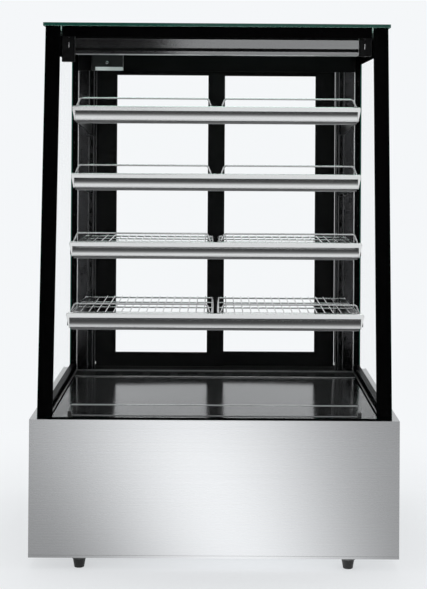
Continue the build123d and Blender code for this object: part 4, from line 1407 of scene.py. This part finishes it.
@dataclass
class ServicePanel(Fitting):
    """Louvre hoods and screws of the rear sheet.

    Attributes:
        louvre: Length, pitch across, first height, pitch up and hood height of the louvres.
        louvre_middle: Middle of the louvre field across the case.
        rows: Rows of louvres.
        hood: Depth of a louvre hood.
        hood_wall: Wall of a hood, and how far it starts below its slot.
        hood_hollow: How far a hood is hollow from below.
        screw: Radius of a panel screw.
        inset: Place of the screws from the sides and the foot of the panel.
        top_inset: Place of the upper screws from the top of the panel.
        spread: Places of the screws across the panel, as shares of its half width.
        plate_screw: Radius of a screw of the control plate.
        plate_inset: Place of those screws from the edges of the plate.
    """

    louvre: tuple[float, float, float, float, float] = (0.120, 0.134, 0.070, 0.018, 0.009)
    louvre_middle: float = -0.190
    rows: int = 7
    hood: float = 0.0045
    hood_wall: float = 0.001
    hood_hollow: float = 0.003
    screw: float = 0.004
    inset: float = 0.016
    top_inset: float = 0.022
    spread: tuple[float, ...] = (-1.0, -0.33, 0.33, 1.0)
    plate_screw: float = 0.0025
    plate_inset: float = 0.006

    def build(self) -> None:
        """Make the hoods and the screws."""
        self.hoods()
        low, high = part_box("service_panel")
        self.screws("service_screws", self.screw, "rear_steel", high.y,
                    [(high.x - self.inset) * share for share in self.spread],
                    [low.z + self.inset, high.z - self.top_inset])
        low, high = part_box("control_panel")
        gap = self.plate_inset
        self.screws("plate_screws", self.plate_screw, "control_plastic", high.y,
                    [low.x + gap, high.x - gap], [low.z + gap, high.z - gap])

    def hoods(self) -> None:
        """One rounded hood over each louvre slot."""
        length, across, first, up, tall = self.louvre
        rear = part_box("service_panel")[1].y
        x, foot = self.louvre_middle, first - self.hood_wall
        hood = Bench.block("louvre_hoods", (x - length / 2, rear, foot),
                           (x + length / 2, rear + self.hood, foot + tall))
        Bench.soften(hood, 0.9 * self.hood, 4, lambda middle, way:
                     abs(way.x) > ALONG and middle.z > foot + 0.006 and middle.y > rear + 0.001)
        Bench.sink(hood, (0.0, 0.0, -1.0), self.hood_wall, self.hood_hollow)
        spots = [(column * across, 0.0, row * up) for column in (-1, 0, 1)
                 for row in range(self.rows)]
        self.put(Bench.repeat(hood, spots), REAR_STEEL, "rear_steel")

    def screws(self, name: str, radius: float, slot: str, rear: float, across: list[float],
               up: list[float]) -> None:
        """Rows of screws on a sheet.

        Args:
            name: Name of the piece.
            radius: Radius of a screw.
            slot: Material slot of the sheet.
            rear: Rear face of the sheet.
            across: Places of the screws across the case.
            up: Heights of the rows.
        """
        screw = Bench.screw(name, (0.0, rear, 0.0), radius, (0.0, 1.0, 0.0))
        spots = [(x, 0.0, z) for z in up for x in across]
        self.put(Bench.repeat(screw, spots), SCREW_STEEL, slot)


@dataclass
class Controls(Fitting):
    """Display, key marks, switch marks and inlet pins at the rear.

    Attributes:
        head: Height of the part of the controller that holds the display.
        bezel: Inset, width and thickness of the display's bezel.
        digits: Size and half thickness of the lit digits.
        dot: Place of the lit dot from the middle of the display, across and up.
        dot_size: Radius and thickness of the dot.
        mark: Radius and thickness of a key mark.
        bar: Half width, depth below the rocker's edge and thickness of a switch mark.
        bar_span: Foot and top of a switch mark below the middle of its rocker.
        inlet: Place of the inlet across and up.
        pin: Half width, length and half height of a pin.
        pin_setback: Rear end of the pins in front of the rear of the electric box.
        pins: Places of the pins across and up.
    """

    head: float = 0.026
    bezel: tuple[float, float, float] = (0.003, 0.004, 0.0008)
    digits: tuple[float, float] = (0.016, 0.0002)
    dot: tuple[float, float] = (-0.026, 0.004)
    dot_size: tuple[float, float] = (0.0013, 0.0006)
    mark: tuple[float, float] = (0.0022, 0.0006)
    bar: tuple[float, float, float] = (0.0005, 0.0012, 0.0006)
    bar_span: tuple[float, float] = (0.0080, 0.0045)
    inlet: tuple[float, float] = (0.300, 0.084)
    pin: tuple[float, float, float] = (0.001, 0.012, 0.002)
    pin_setback: float = 0.016
    pins: tuple[tuple[float, float], ...] = ((-0.007, -0.003), (0.0, 0.003), (0.007, -0.003))

    def build(self) -> None:
        """Make everything on the control plate, and the pins."""
        self.display()
        self.key_marks()
        self.switch_marks()
        self.inlet_pins()

    def display(self) -> None:
        """Bezel, lit digits and a lit dot on the controller."""
        low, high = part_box("controller")
        inset, wide, thick = self.bezel
        window = Bench.ring("display_bezel", (low.x + inset, high.y, high.z - self.head + inset),
                            (high.x - inset, high.y + thick, high.z - inset), wide)
        Bench.soften(window, 0.0015, 3, along(Y))
        self.put(window, Coated("bezel_grey", (0.05, 0.05, 0.052), 0.4), "controller_plastic")
        x, z = (low.x + high.x) / 2, high.z - self.head / 2
        self.lit_digits((x, high.y, z))
        radius, thick = self.dot_size
        dot = Bench.drum("display_dot", (x + self.dot[0], high.y, z + self.dot[1]), radius, thick,
                         (0.0, 1.0, 0.0), 16)
        Bench.soften(dot, 0.0003, 2)
        self.put(dot, Glow("display_green", (0.1, 1.0, 0.25)), "controller_plastic")

    def lit_digits(self, place: Place) -> None:
        """Temperature in lit digits.

        Args:
            place: Middle of the digits.
        """
        deselect()
        turn = (math.radians(90.0), 0.0, math.radians(180.0))
        bpy.ops.object.text_add(location=place, rotation=turn)
        text = bpy.context.object.data
        text.body = "3.0"
        text.size, text.extrude = self.digits
        text.align_x = text.align_y = "CENTER"
        bpy.ops.object.convert(target="MESH")
        self.put(Bench.own("display_digits"), Glow("display_red"), "controller_plastic")

    def key_marks(self) -> None:
        """Raised marks on the keys: a ring for set and arrowheads for up and down."""
        radius, thick = self.mark
        for key, sides, turn in (("set", 24, 0.0), ("up", 3, 90.0), ("down", 3, -90.0)):
            low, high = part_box(f"button_{key}")
            place = Vector(((low.x + high.x) / 2, high.y, (low.z + high.z) / 2))
            mark = Bench.drum(f"button_{key}_mark", place, radius, thick, (0.0, 1.0, 0.0), sides)
            if sides == 3:
                spin = Matrix.Rotation(self.point_up(mark, place) + math.radians(turn - 90.0), 4,
                                       "Y")
                mark.data.transform(Matrix.Translation(place) @ spin
                                    @ Matrix.Translation(-place))
            Bench.soften(mark, 0.0002, 2)
            self.put(mark, MARK_WHITE, "button_plastic", f"{key}_key")

    @staticmethod
    def point_up(mark: Piece, place: Vector) -> float:
        """Angle about Y of the first corner of a mark, seen from its middle."""
        corner = mark.data.vertices[0].co - place
        return math.atan2(corner.z, corner.x)

    def switch_marks(self) -> None:
        """A bar on each rocker, on its tilted face."""
        half, sunk, thick = self.bar
        foot, top = self.bar_span
        for name in ("power", "light"):
            low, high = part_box(f"{name}_switch")
            x, z = (low.x + high.x) / 2, (low.z + high.z) / 2
            bar = Bench.block(f"{name}_switch_bar", (x - half, high.y - sunk, z - foot),
                              (x + half, high.y - sunk + thick, z - top))
            Bench.soften(bar, 0.0002, 2)
            self.put(bar, MARK_WHITE, "rocker_plastic", f"{name}_rocker")

    def inlet_pins(self) -> None:
        """Three flat pins in the mains inlet."""
        x, z = self.inlet
        wide, length, tall = self.pin
        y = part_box("electric_box")[1].y - self.pin_setback
        pin = Bench.block("inlet_pins", (x - wide, y, z - tall), (x + wide, y + length, z + tall))
        Bench.soften(pin, 0.0006, 2)
        spots = [(across, 0.0, up) for across, up in self.pins]
        self.put(Bench.repeat(pin, spots), Chrome("pin_brass", (0.75, 0.6, 0.35), 0.2),
                 "electric_plastic")


@dataclass
class Underside(Fitting):
    """Lock nuts above the feet.

    Attributes:
        radius: Radius of a nut.
        height: Height of a nut.
        sunk: How far a nut sits below the top of its foot.
        place: Place of the right rear foot.
    """

    radius: float = 0.0195
    height: float = 0.006
    sunk: float = 0.0002
    place: tuple[float, float] = (0.328, 0.336)

    def build(self) -> None:
        """One hexagonal lock nut above each foot."""
        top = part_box("feet")[1].z - self.sunk
        x, y = self.place
        nut = Bench.drum("foot_nuts", (0.0, 0.0, top - self.height / 2), self.radius,
                         self.height, (0.0, 0.0, 1.0), 6)
        Bench.soften(nut, 0.0012, 2)
        spots = [(sx * x, sy * y, 0.0) for sx in (-1, 1) for sy in (-1, 1)]
        self.put(Bench.repeat(nut, spots), Coated("nut_zinc", grey(0.05), 0.35,
                                                  metal=0.6), "black_rubber")


@dataclass
class Machinery(Fitting):
    """Seam and terminal cover of the compressor, guard of the condenser fan, coil bends.

    Attributes:
        shell: Radius of the compressor's shell.
        seam_height: Height of the seam over the foot of the compressor.
        seam: How far the seam stands out, and its height.
        cover: Half width, reach in front of the shell and reach into it of the cover.
        cover_span: Foot and top of the cover over the seam.
        guard_rings: Rings of the fan guard.
        guard_reach: Radius of the outer ring, and half length of a spoke.
        guard_gap: Guard in front of the fan, and spokes in front of the rings.
        guard_wire: Radius of the guard wire.
        spokes: Spokes of the guard.
        tubes: Tubes of the condenser.
        bend: Reach of a return bend.
        bend_wire: Radius of a return bend.
        bend_steps: Straight runs of a return bend.
    """

    shell: float = 0.072
    seam_height: float = 0.075
    seam: tuple[float, float] = (0.0025, 0.006)
    cover: tuple[float, float, float] = (0.03, 0.022, 0.012)
    cover_span: tuple[float, float] = (0.012, 0.062)
    guard_rings: int = 5
    guard_reach: tuple[float, float] = (0.078, 0.08)
    guard_gap: tuple[float, float] = (0.036, 0.0015)
    guard_wire: float = 0.0012
    spokes: int = 4
    tubes: int = 5
    bend: float = 0.010
    bend_wire: float = 0.005
    bend_steps: int = 12

    def build(self) -> None:
        """Make the machine details."""
        self.compressor()
        self.guard()
        self.bends()

    def compressor(self) -> None:
        """Rolled seam round the shell, and a terminal cover on its side."""
        low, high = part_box("compressor")
        x, y = (low.x + high.x) / 2, (low.y + high.y) / 2
        z = low.z + self.seam_height
        proud, tall = self.seam
        seam = Bench.drum("compressor_seam", (x, y, z), self.shell + proud, tall, (0, 0, 1), 64)
        Bench.soften(seam, 0.0018, 3, lambda middle, way: abs(way.z) < 0.5)
        self.put(seam, COMPRESSOR_PAINT, "compressor_black")
        half, reach, bite = self.cover
        foot, top = self.cover_span
        cover = Bench.block("compressor_terminals", (x - half, y - self.shell - reach, z + foot),
                            (x + half, y - self.shell + bite, z + top))
        Bench.soften(cover, 0.006, 4)
        self.put(cover, BLACK_PLASTIC, "compressor_black")

    def guard(self) -> None:
        """Rings and spokes in front of the condenser fan."""
        low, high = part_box("condenser_fan")
        gap, step_out = self.guard_gap
        outer, reach = self.guard_reach
        middle = Vector(((low.x + high.x) / 2, low.y - gap, (low.z + high.z) / 2))
        wires = []
        for index in range(1, self.guard_rings + 1):
            radius = outer * index / self.guard_rings
            points = [middle + self.spoke(step / 32) * radius for step in range(32)]
            wires.append(Bench.wire(f"guard_ring_{index}", points, self.guard_wire, True))
        middle.y -= step_out
        for step in range(self.spokes):
            run = self.spoke((step + 0.5) / 8) * reach
            wires.append(Bench.wire(f"guard_spoke_{step}", [middle - run, middle + run],
                                    self.guard_wire))
        self.put(Bench.join("fan_guard", wires), Coated("guard_black", grey(0.015), 0.4),
                 "shroud_steel")

    @staticmethod
    def spoke(turn: float) -> Vector:
        """Way across the case and up after a share of a turn."""
        return Vector((math.cos(math.tau * turn), 0.0, math.sin(math.tau * turn)))

    def bends(self) -> None:
        """Return bends at the left end of the condenser."""
        low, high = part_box("condenser_coil")
        pitch = (high.z - low.z) / self.tubes
        start = Vector((low.x, (low.y + high.y) / 2, low.z))
        wires = []
        for pair in range(self.tubes // 2):
            middle = start + Vector((0.0, 0.0, pitch * (2 * pair + 1)))
            points = []
            for step in range(self.bend_steps + 1):
                angle = math.pi * step / self.bend_steps
                points.append(middle - Vector((self.bend * math.sin(angle), 0.0,
                                               pitch / 2 * math.cos(angle))))
            wires.append(Bench.wire(f"bend_{pair}", points, self.bend_wire))
        self.put(Bench.join("condenser_bends", wires), COPPER, "copper")


class Wardrobe:
    """Finish of every CAD node."""

    @staticmethod
    def case() -> dict[str, Finish]:
        """Finish by node name of the base, the glass, the posts and the canopy."""
        side = BrushedSteel("side_steel", grey(0.42), 0.34, Grain.DEEP, smear=0.05)
        print_black = Coated("printed_black", (0.001, 0.001, 0.0011), 0.3, mirror=0.01,
                             depth=0.000005)
        side_pane = ClearPane("side_pane", axis=X, slant=0.02)
        return {
            "base_frame": ZINC, "base_pan": ZINC, "service_panel": REAR_STEEL,
            "front_panel": BrushedSteel("brushed_steel", (0.32, 0.32, 0.322), 0.27,
                                        depth=0.00001, smear=0.03),
            "side_panel_left": side, "side_panel_right": side,
            "feet": Coated("foot_rubber", grey(0.01), 0.6, texture=500.0),
            "insulated_well": Coated("well_liner", (0.6, 0.6, 0.58), 0.5),
            "deck_pan": DeckMirror("deck_steel"),
            "air_grille": DeckMirror("grille_steel", (0.08, 0.08, 0.081), 0.12),
            "rear_duct_cover": SATIN_BLACK,
            "air_deflector": ClearPane("clear_acrylic", edge=(0.45, 0.47, 0.47)),
            "front_glass": ClearPane("front_pane"),
            "front_glass_border": print_black,
            "side_glass_left": side_pane, "side_glass_right": side_pane,
            "side_glass_borders": print_black,
            "top_glass": ClearPane("top_pane", tint=(0.80, 0.93, 0.88), axis=Z,
                                   edge=(0.010, 0.055, 0.040), face_on=0.03),
            "top_frame": SATIN_BLACK,
            "canopy_lamp_housing": BrushedSteel("canopy_steel", grey(0.24), 0.12),
            "canopy_lamp_diffuser": OPAL_LENS,
            "junction_box": Coated("box_paint", grey(0.012), 0.35, mirror=0.2),
            "rear_posts": Coated("post_gloss", (0.022, 0.022, 0.023), 0.14, metal=0.9, coat=0.1),
            "rear_header": Coated("header_black", (0.003, 0.003, 0.0031), 0.4, mirror=0.05),
            "door_tracks": Coated("track_black", grey(0.02), 0.3, metal=0.7),
        }

    @staticmethod
    def doors_and_shelves() -> dict[str, Finish]:
        """Finish by node name of the doors and shelves."""
        table: dict[str, Finish] = {
            "shelf_brackets": Coated("bracket_grey", (0.04, 0.04, 0.041), 0.3, metal=0.7),
            "shelf_lamps": Coated("lamp_grey", grey(0.12), 0.3, metal=0.9),
            "lamp_leads": BLACK_PLASTIC,
        }
        for side in SIDES:
            table[f"door_{side}_frame"] = SATIN_BLACK
            table[f"door_{side}_glass"] = ClearPane("door_pane")
            table[f"door_{side}_pull"] = BLACK_PLASTIC
        for level in SHELVES:
            # The trims carry painted shade on the faces that look down.
            table[f"shelf_{level}_trim"] = BrushedSteel("trim_steel", (0.74, 0.74, 0.735), 0.14,
                                                        depth=0.00001, painted_down_shade=0.65)
            table[f"shelf_{level}_rack"] = Chrome("chrome_wire")
        return table

    @staticmethod
    def machinery() -> dict[str, Finish]:
        """Finish by node name of the cooling and the controls."""
        fins = Coated("fin_aluminium", grey(0.55), 0.35, metal=1.0)
        plastic = Coated("grey_plastic", (0.2, 0.21, 0.22), 0.5)
        return {
            "compressor": COMPRESSOR_PAINT, "refrigerant_pipes": COPPER,
            "condenser_coil": fins, "evaporator_coil": fins, "condenser_shroud": ZINC,
            "condenser_fan": fins, "evaporator_fan_plate": ZINC,
            "evaporator_fan_left": BLACK_PLASTIC, "evaporator_fan_right": BLACK_PLASTIC,
            "condensate_tray": BLACK_PLASTIC, "electric_box": plastic,
            "control_panel": BLACK_PLASTIC,
            "controller": Coated("controller_gloss", grey(0.01), 0.12, coat=0.8),
            "power_switch": BLACK_PLASTIC, "light_switch": BLACK_PLASTIC,
            "button_set": plastic, "button_up": plastic, "button_down": plastic,
        }

    def dress_all(self) -> None:
        """Dress every node, and fail on one that has no finish."""
        table = self.case() | self.doors_and_shelves() | self.machinery()
        for name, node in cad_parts.items():
            table[name].dress(node)
            LOG.info("dressed %s", name)


def main() -> None:
    """Dress the CAD parts, model the fittings and set the studio."""
    logging.basicConfig(level=logging.INFO, format="%(name)s: %(message)s")
    Wardrobe().dress_all()
    for fitting in (PostTrim(), LampCover(), CanopyFittings(), ShelfFittings(), DeckFittings(),
                    DoorFittings(), ServicePanel(), Controls(), Underside(), Machinery()):
        fitting.build()
    Studio().build()


if __name__ == "__main__":
    main()
